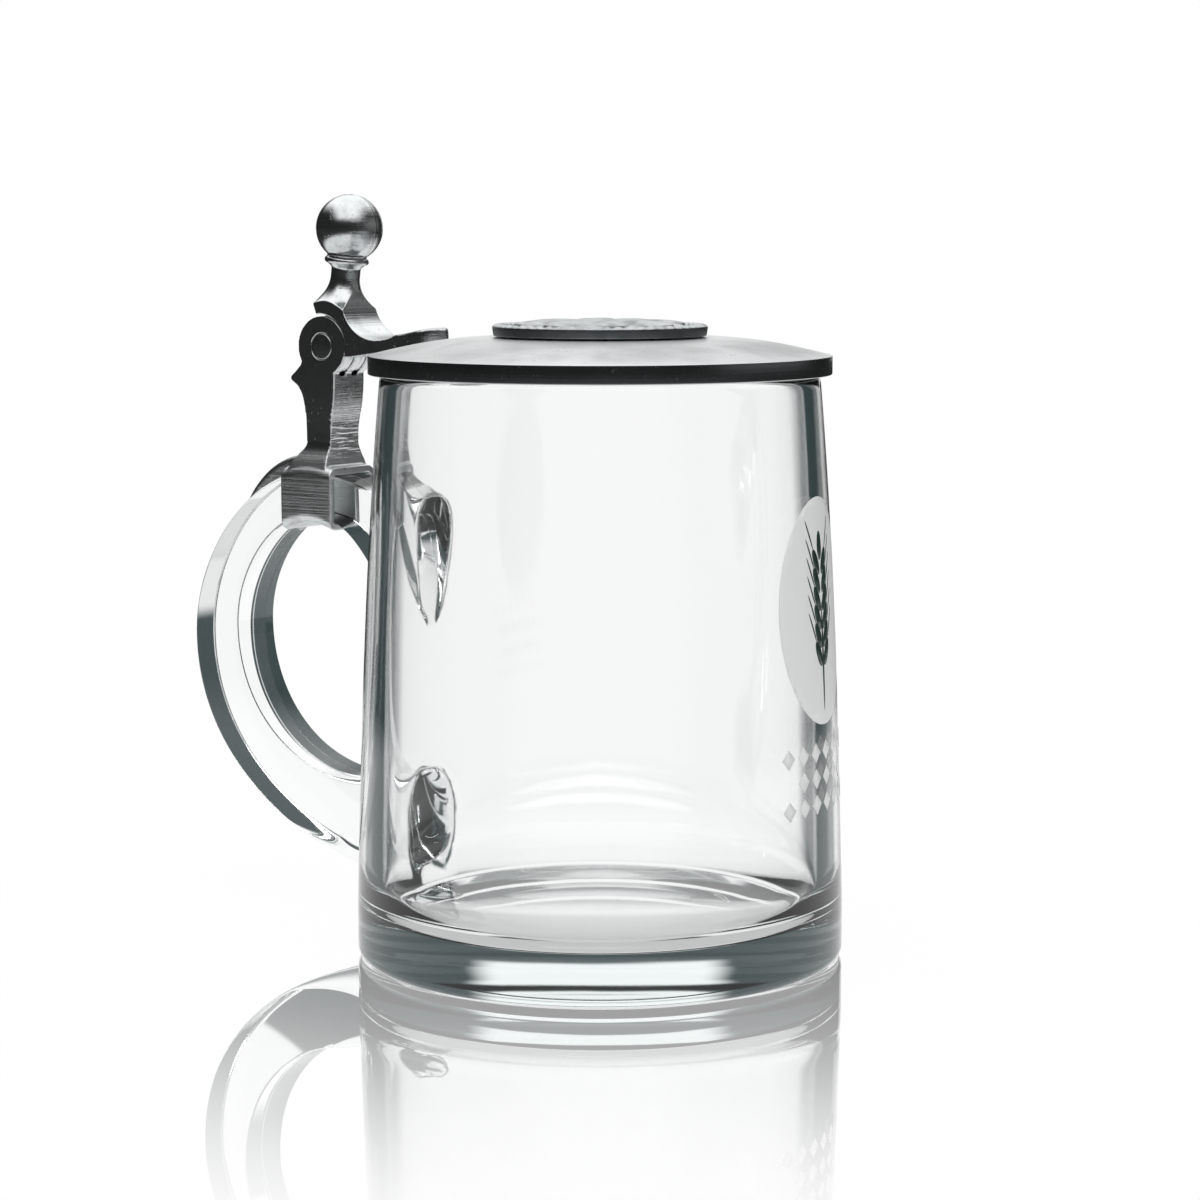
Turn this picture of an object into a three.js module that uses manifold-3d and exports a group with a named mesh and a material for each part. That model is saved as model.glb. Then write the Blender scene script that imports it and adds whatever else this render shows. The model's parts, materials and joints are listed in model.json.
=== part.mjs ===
// Half-litre glass mug with a hinged pewter lid. Millimetres, +Z up.
// The origin is the centre of the base, on the axis of the glass. The handle points to -X,
// and the hinge pin lies along Y above the handle. Turning the lid group about its Y opens the lid.
import * as THREE from "three";
import { mergeVertices, toCreasedNormals } from "three/addons/utils/BufferGeometryUtils.js";
import Module from "manifold-3d";

const wasm = await Module();
wasm.setup();

// Glass body
const GLASS_HEIGHT = 116;
const RIM_RADIUS = 43.2;
const FOOT_RADIUS = 48.5;
const FOOT_HEIGHT = 11;
const HEEL_ROUNDING = 2.4;
const RIM_WALL = 3.4;
const FOOT_WALL = 4.8;
const FLOOR_THICKNESS = 9;
const FLOOR_CORNER = 8;
const SIDE_LEAN_LOW = 0.03;
const SIDE_LEAN_HIGH = 0.09;

// Applied glass handle: a bar that hangs from a crest under the hinge, with a root at each end
const HANDLE_STANDOFF = 54.7;
const HANDLE_WIDTH = 11.5;
const CREST_HEIGHT = 93.4;
const CREST_THICKNESS = 9;
const BELLY_HEIGHT = 57;
const BELLY_THICKNESS = 12.4;
const BELLY_STAGGER = 3;
const TOP_ROOT_HIGH = 88.6;
const TOP_ROOT_LOW = 59;
const FOOT_ROOT_HIGH = 33;
const FOOT_ROOT_LOW = 8;
const ROOT_WIDTH = 14.5;
const ROOT_SINK = 2;
const TAIL_WIDTH_SHARE = 0.25;

// How far the handle's curves pull towards their corners, as shares of each leg
const ARM_PULL = 0.4;
const SHOULDER_PULL = 0.5;
const BELLY_PULL = 0.55;
const FOOT_PULL = 0.55;
const FOOT_SLOPE = 0.12;
const WEB_OUT_PULL = 0.28;
const WEB_UP_PULL = 0.47;
const PALM_PULL = 0.95;
const PALM_FOOT_PULL = 0.38;
const PALM_FOOT_DIP = 0.4;
const FLARE_LENGTH = 0.6;

// Lid
const LID_OVERHANG = 2.4;
const LID_EDGE = 3.1;
const LID_RISE = 3.4;
const LID_SHEET = 2.2;
const LID_EDGE_PULL = 0.3;
const LID_SEAT_PULL = 0.4;
const EDGE_BREAK = 0.25;
const LIP_DEPTH = 0.6;
const LIP_CLEARANCE = 0.7;
const FLANGE_DEPTH = 2.2;
const FLANGE_WALL = 1.8;
const FLANGE_CLEARANCE = 0.9;

// Medallion on the lid
const MEDALLION_RADIUS = 21.2;
const MEDALLION_MARGIN = 0.6;
const MEDALLION_EDGE = 2;
const MEDALLION_DOME = 1.8;
const MEDALLION_BORDER = 2.4;
const FIELD_DEPTH = 0.5;
const ROSETTE_RADIUS = 15;
const ROSETTE_EYE = 3;
const ROSETTE_RELIEF = 0.6;
const ROSETTE_PETALS = 8;
const PETAL_FULLNESS = 0.84;

// Hinge
const HINGE_STANDOFF = 21.6;
const HINGE_LIFT = 0.2;
const RING_RADIUS = 6.35;
const RING_WIDTH = 2.1;
const LUG_WIDTH = 1.5;
const LUG_SIDE_CLEARANCE = 0.18;
const LUG_TOP_CLEARANCE = 0.4;
const LUG_ROOT = 1;
const PIN_RADIUS = 1.6;
const PIN_CLEARANCE = 0.15;
const PLUG_RADIUS = 2.65;
const PLUG_DEPTH = 0.9;

// Pewter mount on the handle
const SHANK_SETBACK = 2.8;
const SHANK_WAIST = 6.4;
const SHANK_WAIST_WIDTH = 8;
const SHANK_WAIST_SHARE = 0.25;
const SHANK_FORWARD = 1.4;
const SHANK_BLEND_SHARE = 0.33;
const STOP_REACH = 2.2;
const STOP_DROP = 6.7;
const STOP_NOSE = 0.8;
const COLLAR_LENGTH = 12.5;
const COLLAR_WALL = 1.6;
const LEAF_LENGTH = 15;
const LEAF_WIDTH = 9.5;
const LEAF_TIP_WIDTH = 2.4;
const LEAF_THICKNESS = 3.6;
const LEAF_TIP_THICKNESS = 1.5;

// Thumblift
const PLATE_WIDTH = 11;
const PLATE_BACK = 1.8;
const PLATE_FRONT = 5.7;
const PLATE_RISE = 8.8;
const STEM_LEAN_DEGREES = 7;
const STEM_FORWARD = 1.8;
const NECK_RADIUS = 3.05;
const NECK_HEIGHT = 5.8;
const BELL_RADIUS = 9;
const BELL_DROP = 1.4;
const BEAD_RADIUS = 4.65;
const BEAD_HEIGHT = 9.1;
const BEAD_THICKNESS = 1.5;
const BALL_RADIUS = 7;
const BALL_HEIGHT = 15.8;
const SCOOP_RADIUS = 9;
const SCOOP_END = 300;
const TONGUE_HEIGHT = 1.6;
const TONGUE_WIDTH = 8.6;
const TONGUE_OVERLAP = 7;
const TONGUE_THICKNESS = 3.1;
const TONGUE_ROUNDING = 3;

// Fits and facets
const JOINT_GAP = 0.3;
const ROUND_STEPS = 60;
const SMALL_ROUND_STEPS = 28;
const CURVE_STEPS = 6;
const SIDE_STEPS = 8;
const HANDLE_STEPS = 8;
const HANDLE_SIDES = 20;
const HANDLE_SQUARENESS = 7;
const ROOT_SQUARENESS = 2;
const LEAF_SQUARENESS = 4;
const CREASE_DEGREES = 32;

// Places that follow from the sizes above
const LID_BOTTOM = GLASS_HEIGHT + JOINT_GAP;
const LID_RADIUS = RIM_RADIUS + LID_OVERHANG;
const LID_EDGE_TOP = LID_BOTTOM + LID_EDGE;
const LID_SEAT = LID_EDGE_TOP + LID_RISE;
const MEDALLION_BOTTOM = LID_SEAT + JOINT_GAP;
const SLOT_WIDTH = LUG_WIDTH + 2 * LUG_SIDE_CLEARANCE;
const LUG_OFFSET = (RING_WIDTH + SLOT_WIDTH) / 2;
const HINGE_WIDTH = 3 * RING_WIDTH + 2 * SLOT_WIDTH;
const RING_CLEAR_RADIUS = RING_RADIUS + LUG_TOP_CLEARANCE;
const BORE_RADIUS = PIN_RADIUS + PIN_CLEARANCE;
const HINGE = new THREE.Vector3(-(LID_RADIUS + HINGE_STANDOFF), 0, LID_EDGE_TOP + HINGE_LIFT);
const CREST_X = HINGE.x - SHANK_SETBACK;
const HANDLE_REACH = FOOT_RADIUS + HANDLE_STANDOFF;

const { degToRad, radToDeg, lerp } = THREE.MathUtils;
const at = (x, y) => new THREE.Vector2(x, y);

// Solids: a geometry becomes a closed manifold, and a manifold becomes a geometry again.

function solid(geometry) {
  const loose = geometry.index ? geometry.toNonIndexed() : geometry.clone();
  loose.deleteAttribute("normal");
  loose.deleteAttribute("uv");
  const merged = mergeVertices(loose, 1e-4);
  const index = merged.index.array;
  const triangles = [];
  for (let i = 0; i < index.length; i += 3) {
    const [a, b, c] = index.slice(i, i + 3);
    if (a !== b && b !== c && c !== a) triangles.push(a, b, c);
  }
  const mesh = new wasm.Mesh({
    numProp: 3,
    vertProperties: merged.attributes.position.array,
    triVerts: new Uint32Array(triangles),
  });
  return new wasm.Manifold(mesh);
}

function geometryOf(manifold) {
  const { vertProperties, triVerts } = manifold.getMesh();
  const geometry = new THREE.BufferGeometry();
  geometry.setAttribute("position", new THREE.BufferAttribute(vertProperties, 3));
  geometry.setIndex(new THREE.BufferAttribute(triVerts, 1));
  return toCreasedNormals(geometry, degToRad(CREASE_DEGREES));
}

// Profiles: points sampled from curves and from arcs given in degrees.

function bezier(a, b, c, d, steps = CURVE_STEPS) {
  return new THREE.CubicBezierCurve(a, b, c, d).getPoints(steps);
}

function arc(x, y, radius, from, to, steps = CURVE_STEPS) {
  const turn = [degToRad(from), degToRad(to), to < from];
  return new THREE.EllipseCurve(x, y, radius, radius, ...turn).getPoints(steps);
}

// A revolve about Z of (radius, height) points that run up the outside of the solid.
function revolve(points, steps = ROUND_STEPS) {
  return solid(new THREE.LatheGeometry(points, steps).rotateX(Math.PI / 2));
}

function extrude(points, depth) {
  return new THREE.ExtrudeGeometry(new THREE.Shape(points), { depth, bevelEnabled: false });
}

// A prism of an outline in X and Z, centred on a plane of constant y.
function prismAlongY(points, width, y = 0) {
  return solid(extrude(points, width).rotateX(Math.PI / 2).translate(0, y + width / 2, 0));
}

// A prism of an outline in Y and Z, from x = low to x = high.
function prismAlongX(points, low, high) {
  const turn = new THREE.Matrix4().set(0, 0, 1, low, 1, 0, 0, 0, 0, 1, 0, 0, 0, 0, 0, 1);
  return solid(extrude(points, high - low).applyMatrix4(turn));
}

// A prism of an outline in X and Y, from z = low to z = high.
function prismAlongZ(points, low, high) {
  return solid(extrude(points, high - low).translate(0, 0, low));
}

// A closed loft of rings that hold the same number of points.
function loft(rings) {
  const sides = rings[0].length;
  const faces = [];
  for (let r = 0; r + 1 < rings.length; r++) {
    for (let s = 0; s < sides; s++) {
      const a = r * sides + s;
      const b = r * sides + ((s + 1) % sides);
      faces.push(a, b, b + sides, a, b + sides, a + sides);
    }
  }
  const last = (rings.length - 1) * sides;
  for (let s = 1; s + 1 < sides; s++) {
    faces.push(0, s + 1, s, last, last + s, last + s + 1);
  }
  const geometry = new THREE.BufferGeometry().setFromPoints(rings.flat());
  geometry.setIndex(faces);
  return solid(geometry);
}

// Glass body

// The control heights are evenly spaced, so a share of the curve is the same share of its height.
const SIDE_PULL = (GLASS_HEIGHT - FOOT_HEIGHT) / 3;
const OUTER_SIDE = new THREE.CubicBezierCurve(
  at(FOOT_RADIUS, FOOT_HEIGHT),
  at(FOOT_RADIUS - SIDE_LEAN_LOW * SIDE_PULL, FOOT_HEIGHT + SIDE_PULL),
  at(RIM_RADIUS + SIDE_LEAN_HIGH * SIDE_PULL, GLASS_HEIGHT - SIDE_PULL),
  at(RIM_RADIUS, GLASS_HEIGHT),
);

function bodyRadiusAt(z) {
  const share = (z - FOOT_HEIGHT) / (GLASS_HEIGHT - FOOT_HEIGHT);
  return OUTER_SIDE.getPoint(THREE.MathUtils.clamp(share, 0, 1)).x;
}

function wallAt(z) {
  return lerp(FOOT_WALL, RIM_WALL, (z - FLOOR_THICKNESS) / (GLASS_HEIGHT - FLOOR_THICKNESS));
}

// Points of a side between two heights, set in from the outside by a depth that depends on height.
function sidePoints(low, high, depthAt, steps) {
  const points = [];
  for (let i = 0; i <= steps; i++) {
    const z = lerp(low, high, i / steps);
    points.push(at(bodyRadiusAt(z) - depthAt(z), z));
  }
  return points;
}

function glassBody() {
  const lip = RIM_WALL / 2;
  const lipZ = GLASS_HEIGHT - lip;
  const cornerZ = FLOOR_THICKNESS + FLOOR_CORNER;
  const cornerX = bodyRadiusAt(cornerZ) - wallAt(cornerZ) - FLOOR_CORNER;
  return revolve([
    at(0, 0),
    ...arc(FOOT_RADIUS - HEEL_ROUNDING, HEEL_ROUNDING, HEEL_ROUNDING, -90, 0),
    ...sidePoints(FOOT_HEIGHT, lipZ, () => 0, SIDE_STEPS),
    ...arc(bodyRadiusAt(lipZ) - lip, lipZ, lip, 0, 180).slice(1, -1),
    ...sidePoints(lipZ, cornerZ, wallAt, CURVE_STEPS),
    ...arc(cornerX, cornerZ, FLOOR_CORNER, 0, -90).slice(1),
    at(0, FLOOR_THICKNESS),
  ]);
}

// The outside of the body, grown by the joint gap, which trims what is joined to it.
function bodyKeepOut() {
  return revolve([
    at(0, -JOINT_GAP),
    at(FOOT_RADIUS + JOINT_GAP, -JOINT_GAP),
    ...sidePoints(FOOT_HEIGHT, GLASS_HEIGHT, () => -JOINT_GAP, SIDE_STEPS),
    at(0, GLASS_HEIGHT),
  ]);
}

// Handle: sections between an outer and an inner rail. Each rail has three legs:
// from the top root to the crest, on to the belly, and in to the foot root.

const rootAt = (z) => at(-(bodyRadiusAt(z) - ROOT_SINK), z);
const rail = (legs) => legs.map((points) => new THREE.CubicBezierCurve(...points));

function outerRail() {
  const top = rootAt(TOP_ROOT_HIGH);
  const crest = at(CREST_X, CREST_HEIGHT);
  const belly = at(-HANDLE_REACH, BELLY_HEIGHT);
  const foot = rootAt(FOOT_ROOT_LOW);
  const drop = belly.y - foot.y;
  return rail([
    [top, at(lerp(top.x, crest.x, ARM_PULL), top.y), at(lerp(crest.x, top.x, ARM_PULL), crest.y), crest],
    [
      crest,
      at(lerp(crest.x, belly.x, SHOULDER_PULL), crest.y),
      at(belly.x, lerp(belly.y, crest.y, SHOULDER_PULL)),
      belly,
    ],
    [
      belly,
      at(belly.x, belly.y - BELLY_PULL * drop),
      at(lerp(foot.x, belly.x, FOOT_PULL), foot.y + FOOT_SLOPE * drop),
      foot,
    ],
  ]);
}

function innerRail() {
  const top = rootAt(TOP_ROOT_LOW);
  const crest = at(CREST_X, CREST_HEIGHT - CREST_THICKNESS);
  const belly = at(-HANDLE_REACH + BELLY_THICKNESS, BELLY_HEIGHT + BELLY_STAGGER);
  const foot = rootAt(FOOT_ROOT_HIGH);
  const drop = belly.y - foot.y;
  return rail([
    [
      top,
      at(lerp(top.x, crest.x, WEB_OUT_PULL), lerp(top.y, crest.y, WEB_UP_PULL)),
      at(lerp(crest.x, top.x, SHOULDER_PULL), crest.y),
      crest,
    ],
    [
      crest,
      at(lerp(crest.x, belly.x, SHOULDER_PULL), crest.y),
      at(belly.x, lerp(belly.y, crest.y, SHOULDER_PULL)),
      belly,
    ],
    [
      belly,
      at(belly.x, belly.y - PALM_PULL * drop),
      at(lerp(foot.x, belly.x, PALM_FOOT_PULL), foot.y - PALM_FOOT_DIP * drop),
      foot,
    ],
  ]);
}

const OUTER_RAIL = outerRail();
const INNER_RAIL = innerRail();
const LEGS = OUTER_RAIL.length;

// The section at a station from 0 to LEGS: a point on each rail and the half width there.
function handleSection(station) {
  const leg = Math.min(Math.floor(station), LEGS - 1);
  const flare = Math.max(0, 1 - Math.min(station, LEGS - station) / FLARE_LENGTH) ** 2;
  const outerHalf = lerp(HANDLE_WIDTH, ROOT_WIDTH, flare) / 2;
  const tail = leg === 0 ? lerp(1, TAIL_WIDTH_SHARE, flare) : 1;
  return {
    outer: OUTER_RAIL[leg].getPoint(station - leg),
    inner: INNER_RAIL[leg].getPoint(station - leg),
    outerHalf,
    innerHalf: outerHalf * tail,
    squareness: lerp(HANDLE_SQUARENESS, ROOT_SQUARENESS, flare),
  };
}

// The ring of a rounded section between two points of the plane y = 0, grown all round.
function roundedRing({ outer, inner, outerHalf, innerHalf, squareness }, grow = 0) {
  const middle = outer.clone().lerp(inner, 0.5);
  const across = outer.clone().sub(inner);
  const half = across.length() / 2 + grow;
  across.normalize();
  const rounded = (v) => Math.sign(v) * Math.abs(v) ** (2 / squareness);
  const ring = [];
  for (let i = 0; i < HANDLE_SIDES; i++) {
    const angle = (2 * Math.PI * (i + 0.5)) / HANDLE_SIDES;
    const along = rounded(Math.cos(angle));
    const halfWidth = lerp(innerHalf, outerHalf, (1 + along) / 2) + grow;
    const point = middle.clone().addScaledVector(across, half * along);
    ring.push(new THREE.Vector3(point.x, halfWidth * rounded(Math.sin(angle)), point.y));
  }
  return ring;
}

function handleBar(from, to, steps, grow = 0) {
  const rings = [];
  for (let i = 0; i <= steps; i++) {
    rings.push(roundedRing(handleSection(lerp(from, to, i / steps)), grow));
  }
  return loft(rings);
}

// The station above the belly where the outer rail is at this x.
function stationAt(x) {
  let near = 0;
  let far = LEGS - 1;
  for (let i = 0; i < 40; i++) {
    const middle = (near + far) / 2;
    if (handleSection(middle).outer.x > x) near = middle;
    else far = middle;
  }
  return near;
}

function glassHandle() {
  return handleBar(0, LEGS, LEGS * HANDLE_STEPS).subtract(bodyKeepOut());
}

// Hinge: round rods along Y, about the origin of the hinge's own frame.

function hingeRod(radius, width, y = 0) {
  return solid(new THREE.CylinderGeometry(radius, radius, width, SMALL_ROUND_STEPS).translate(0, y, 0));
}

const fromHinge = (manifold) => manifold.translate(HINGE.toArray());

// The pin reaches from plug to plug, and a plug closes its seat flush with the outer ring.

function hingePin() {
  return hingeRod(PIN_RADIUS, HINGE_WIDTH - 2 * (PLUG_DEPTH + 2 * JOINT_GAP));
}

function pinPlug() {
  return hingeRod(PLUG_RADIUS, PLUG_DEPTH);
}

// Pewter mount: a collar round the handle, a leaf along its back, and a shank with three hinge rings.

// The collar's two ends are cut upright, square to the pull of the lid.
function collar() {
  const front = CREST_X + COLLAR_LENGTH / 2;
  const back = CREST_X - COLLAR_LENGTH / 2;
  const wrap = handleBar(
    stationAt(front + COLLAR_LENGTH / 2),
    stationAt(back - COLLAR_LENGTH / 2),
    2 * CURVE_STEPS,
    JOINT_GAP + COLLAR_WALL,
  );
  const high = CREST_HEIGHT + 2 * COLLAR_LENGTH;
  const low = CREST_HEIGHT - 2 * COLLAR_LENGTH;
  const length = [at(front, high), at(back, high), at(back, low), at(front, low)];
  return wrap.intersect(prismAlongY(length, 2 * HANDLE_WIDTH));
}

// The leaf starts inside the collar and narrows towards its tip, with its underside left to the handle.
function leaf() {
  const from = stationAt(CREST_X);
  const to = stationAt(CREST_X - COLLAR_LENGTH / 2 - LEAF_LENGTH);
  const rings = [];
  for (let i = 0; i <= CURVE_STEPS; i++) {
    const share = i / CURVE_STEPS;
    const { outer, inner } = handleSection(lerp(from, to, share));
    const out = outer.clone().sub(inner).normalize();
    const half = lerp(LEAF_WIDTH, LEAF_TIP_WIDTH, share ** 1.5) / 2;
    const thickness = lerp(LEAF_THICKNESS, LEAF_TIP_THICKNESS, share ** 3);
    rings.push(
      roundedRing({
        outer: outer.clone().addScaledVector(out, JOINT_GAP + thickness),
        inner: outer.clone().addScaledVector(out, -thickness),
        outerHalf: half,
        innerHalf: half,
        squareness: LEAF_SQUARENESS,
      }),
    );
  }
  return loft(rings);
}

// The shank is what its side view and its front view have in common.
function shank() {
  const footZ = CREST_HEIGHT - CREST_THICKNESS / 3;
  const collarTop = CREST_HEIGHT + COLLAR_WALL;
  const neckZ = HINGE.z - RING_RADIUS;
  const waistZ = lerp(collarTop, neckZ, SHANK_WAIST_SHARE);
  const blend = (neckZ - collarTop) * SHANK_BLEND_SHARE;
  const footFront = CREST_X + COLLAR_LENGTH / 2 - COLLAR_WALL / 3;
  const footBack = CREST_X - COLLAR_LENGTH / 2 + COLLAR_WALL / 3;
  const waistFront = CREST_X + SHANK_WAIST / 2 + SHANK_FORWARD;
  const waistBack = waistFront - SHANK_WAIST;
  const ringFoot = arc(HINGE.x, HINGE.z, RING_RADIUS, 210, 300);
  const front = ringFoot[ringFoot.length - 1];
  const stopTip = at(HINGE.x - RING_RADIUS - STOP_REACH, HINGE.z - STOP_DROP);
  const fromTip = (x, z) => at(stopTip.x + x * STOP_NOSE, stopTip.y + z * STOP_NOSE);
  const side = [
    ...ringFoot,
    ...bezier(
      front,
      at(front.x, waistZ + blend),
      at(waistFront, waistZ + blend),
      at(waistFront, waistZ),
    ).slice(1),
    ...bezier(
      at(waistFront, waistZ),
      at(waistFront, waistZ - blend / 2),
      at(footFront - COLLAR_WALL, collarTop),
      at(footFront, footZ),
    ).slice(1),
    ...bezier(
      at(footBack, footZ),
      at(footBack + COLLAR_WALL, collarTop),
      at(waistBack, waistZ - blend / 2),
      at(waistBack, waistZ),
    ),
    ...bezier(
      at(waistBack, waistZ),
      at(waistBack, waistZ + 1.5 * blend),
      fromTip(4, -3),
      fromTip(0.8, -1),
    ).slice(1),
    ...bezier(fromTip(0.8, -1), fromTip(-0.2, -0.3), fromTip(-0.3, 0.4), fromTip(0.9, 1.1)).slice(1),
    at(HINGE.x - 0.92 * RING_RADIUS, HINGE.z - 0.62 * RING_RADIUS),
  ];
  const ringHalf = HINGE_WIDTH / 2;
  const waistHalf = SHANK_WAIST_WIDTH / 2;
  const collarHalf = HANDLE_WIDTH / 2 + JOINT_GAP + COLLAR_WALL / 2;
  const right = [
    at(ringHalf, HINGE.z),
    ...bezier(
      at(ringHalf, neckZ),
      at(ringHalf, waistZ + blend),
      at(waistHalf, waistZ + blend),
      at(waistHalf, waistZ),
    ),
    ...bezier(
      at(waistHalf, waistZ),
      at(waistHalf, waistZ - blend / 2),
      at(collarHalf, collarTop),
      at(collarHalf, footZ),
    ).slice(1),
  ];
  const left = right.map((p) => at(-p.x, p.y));
  const frontView = [...left, ...right.reverse()];
  const ends = [CREST_X - COLLAR_LENGTH, CREST_X + COLLAR_LENGTH];
  return prismAlongY(side, 2 * HANDLE_WIDTH).intersect(prismAlongX(frontView, ...ends));
}

function hingeMount() {
  const seatDepth = PLUG_DEPTH + JOINT_GAP;
  const rings = hingeRod(RING_RADIUS, HINGE_WIDTH);
  let cuts = hingeRod(BORE_RADIUS, 2 * HINGE_WIDTH);
  for (const side of [-1, 1]) {
    cuts = cuts.add(hingeRod(RING_CLEAR_RADIUS, SLOT_WIDTH, side * LUG_OFFSET));
    cuts = cuts.add(hingeRod(PLUG_RADIUS + PIN_CLEARANCE, 2 * seatDepth, (side * HINGE_WIDTH) / 2));
  }
  const from = stationAt(CREST_X + COLLAR_LENGTH);
  const to = stationAt(CREST_X - COLLAR_LENGTH - LEAF_LENGTH);
  return collar()
    .add(leaf())
    .add(shank())
    .add(fromHinge(rings))
    .subtract(fromHinge(cuts))
    .subtract(handleBar(from, to, 2 * HANDLE_STEPS, JOINT_GAP));
}

// Lid

// The lid's upper face from its edge in to the medallion's seat.
function lidTop(grow = 0) {
  const inner = MEDALLION_RADIUS + MEDALLION_MARGIN;
  const edge = LID_RADIUS - EDGE_BREAK + grow;
  return bezier(
    at(edge, LID_EDGE_TOP + grow),
    at(lerp(edge, inner, LID_EDGE_PULL), lerp(LID_EDGE_TOP, LID_SEAT, 0.5) + grow),
    at(lerp(inner, edge, LID_SEAT_PULL), LID_SEAT + grow),
    at(inner, LID_SEAT + grow),
  );
}

function lidPlate() {
  const flangeOuter = RIM_RADIUS - RIM_WALL - FLANGE_CLEARANCE;
  const flangeInner = flangeOuter - FLANGE_WALL;
  const flangeZ = LID_BOTTOM - FLANGE_DEPTH;
  const lipInner = RIM_RADIUS + LIP_CLEARANCE;
  const lipZ = LID_BOTTOM - LIP_DEPTH;
  const top = lidTop();
  const under = top.filter((p) => p.x < flangeInner).map((p) => at(p.x, p.y - LID_SHEET));
  return revolve([
    at(0, LID_SEAT - LID_SHEET),
    ...under.reverse(),
    at(flangeInner, LID_BOTTOM),
    at(flangeInner, flangeZ),
    at(flangeOuter - EDGE_BREAK, flangeZ),
    at(flangeOuter, flangeZ + EDGE_BREAK),
    at(flangeOuter, LID_BOTTOM),
    at(lipInner, LID_BOTTOM),
    at(lipInner, lipZ),
    at(LID_RADIUS - EDGE_BREAK, lipZ),
    at(LID_RADIUS, lipZ + EDGE_BREAK),
    at(LID_RADIUS, LID_EDGE_TOP - EDGE_BREAK),
    ...top,
    at(0, LID_SEAT),
  ]);
}

// The outside of the lid, grown by the joint gap, which trims the tongue that is soldered to it.
function lidKeepOut() {
  return revolve([
    at(0, LID_BOTTOM - FLANGE_DEPTH),
    at(LID_RADIUS + JOINT_GAP, LID_BOTTOM - FLANGE_DEPTH),
    ...lidTop(JOINT_GAP),
    at(0, LID_SEAT + JOINT_GAP),
  ]);
}

// Medallion: a raised border round a domed field with a rosette in relief.

function medallionField(lift) {
  const edge = MEDALLION_RADIUS - MEDALLION_BORDER;
  const low = MEDALLION_BOTTOM + MEDALLION_EDGE - FIELD_DEPTH + lift;
  const high = low + MEDALLION_DOME;
  return bezier(at(edge, low), at((2 * edge) / 3, lerp(low, high, 2 / 3)), at(edge / 3, high), at(0, high));
}

function petal(turn) {
  const step = (2 * Math.PI) / ROSETTE_PETALS;
  const side = (sign) => {
    const points = [];
    for (let i = 0; i <= CURVE_STEPS; i++) {
      const radius = lerp(ROSETTE_EYE, ROSETTE_RADIUS, i / CURVE_STEPS);
      const spread = (PETAL_FULLNESS * step * Math.sin((Math.PI * i) / CURVE_STEPS) ** 0.7) / 2;
      const angle = turn * step + sign * spread;
      points.push(at(radius * Math.cos(angle), radius * Math.sin(angle)));
    }
    return points;
  };
  const outline = [...side(-1), ...side(1).slice(1, -1).reverse()];
  return prismAlongZ(outline, MEDALLION_BOTTOM + FIELD_DEPTH, MEDALLION_BOTTOM + 2 * MEDALLION_EDGE);
}

function lidMedallion() {
  const high = MEDALLION_BOTTOM + MEDALLION_EDGE;
  const edge = MEDALLION_RADIUS - MEDALLION_BORDER;
  const plate = revolve([
    at(0, MEDALLION_BOTTOM),
    at(MEDALLION_RADIUS, MEDALLION_BOTTOM),
    at(MEDALLION_RADIUS, high - EDGE_BREAK),
    at(MEDALLION_RADIUS - EDGE_BREAK, high),
    at(edge + FIELD_DEPTH, high),
    ...medallionField(0),
  ]);
  const relief = revolve([
    at(0, MEDALLION_BOTTOM),
    at(edge, MEDALLION_BOTTOM),
    ...medallionField(ROSETTE_RELIEF),
  ]);
  let rosette = petal(0);
  for (let i = 1; i < ROSETTE_PETALS; i++) rosette = rosette.add(petal(i));
  return plate.add(rosette.intersect(relief));
}

// Thumblift, in the hinge's frame: two lugs on the pin, a plate under a flared neck with a ball,
// and an arm that scoops down to a tongue on the lid.

function stem(points) {
  return revolve(points, SMALL_ROUND_STEPS)
    .rotate([0, STEM_LEAN_DEGREES, 0])
    .translate([STEM_FORWARD, 0, PLATE_RISE]);
}

// The plate is a square block whose top is the flare of the neck, so its edges are arched.
function thumbliftPlate() {
  const bell = stem([
    at(0, -2 * PLATE_RISE),
    at(2 * BELL_RADIUS, -2 * PLATE_RISE),
    at(2 * BELL_RADIUS, -2 * BELL_DROP),
    ...bezier(
      at(BELL_RADIUS, -BELL_DROP),
      at(lerp(NECK_RADIUS, BELL_RADIUS, 1 / 3), 0),
      at(NECK_RADIUS, NECK_HEIGHT / 2),
      at(NECK_RADIUS, NECK_HEIGHT),
    ),
    at(0, NECK_HEIGHT),
  ]);
  const high = PLATE_RISE + NECK_HEIGHT;
  const block = [
    at(-PLATE_BACK / 2, 0),
    at(PLATE_FRONT, 0),
    at(PLATE_FRONT, high),
    at(-PLATE_BACK, high),
    at(-PLATE_BACK, PLATE_RISE),
    at(-PLATE_BACK / 2, RING_RADIUS),
  ];
  return prismAlongY(block, PLATE_WIDTH).intersect(bell);
}

function thumbliftBall() {
  const seat = radToDeg(Math.asin((BEAD_RADIUS - BEAD_THICKNESS / 3) / BALL_RADIUS));
  return stem([
    at(0, NECK_HEIGHT / 2),
    at(NECK_RADIUS, NECK_HEIGHT / 2),
    at(NECK_RADIUS, BEAD_HEIGHT - BEAD_THICKNESS),
    ...arc(BEAD_RADIUS - BEAD_THICKNESS / 2, BEAD_HEIGHT, BEAD_THICKNESS / 2, -90, 90),
    ...arc(0, BALL_HEIGHT, BALL_RADIUS, seat - 90, 90, 2 * CURVE_STEPS),
  ]);
}

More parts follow.
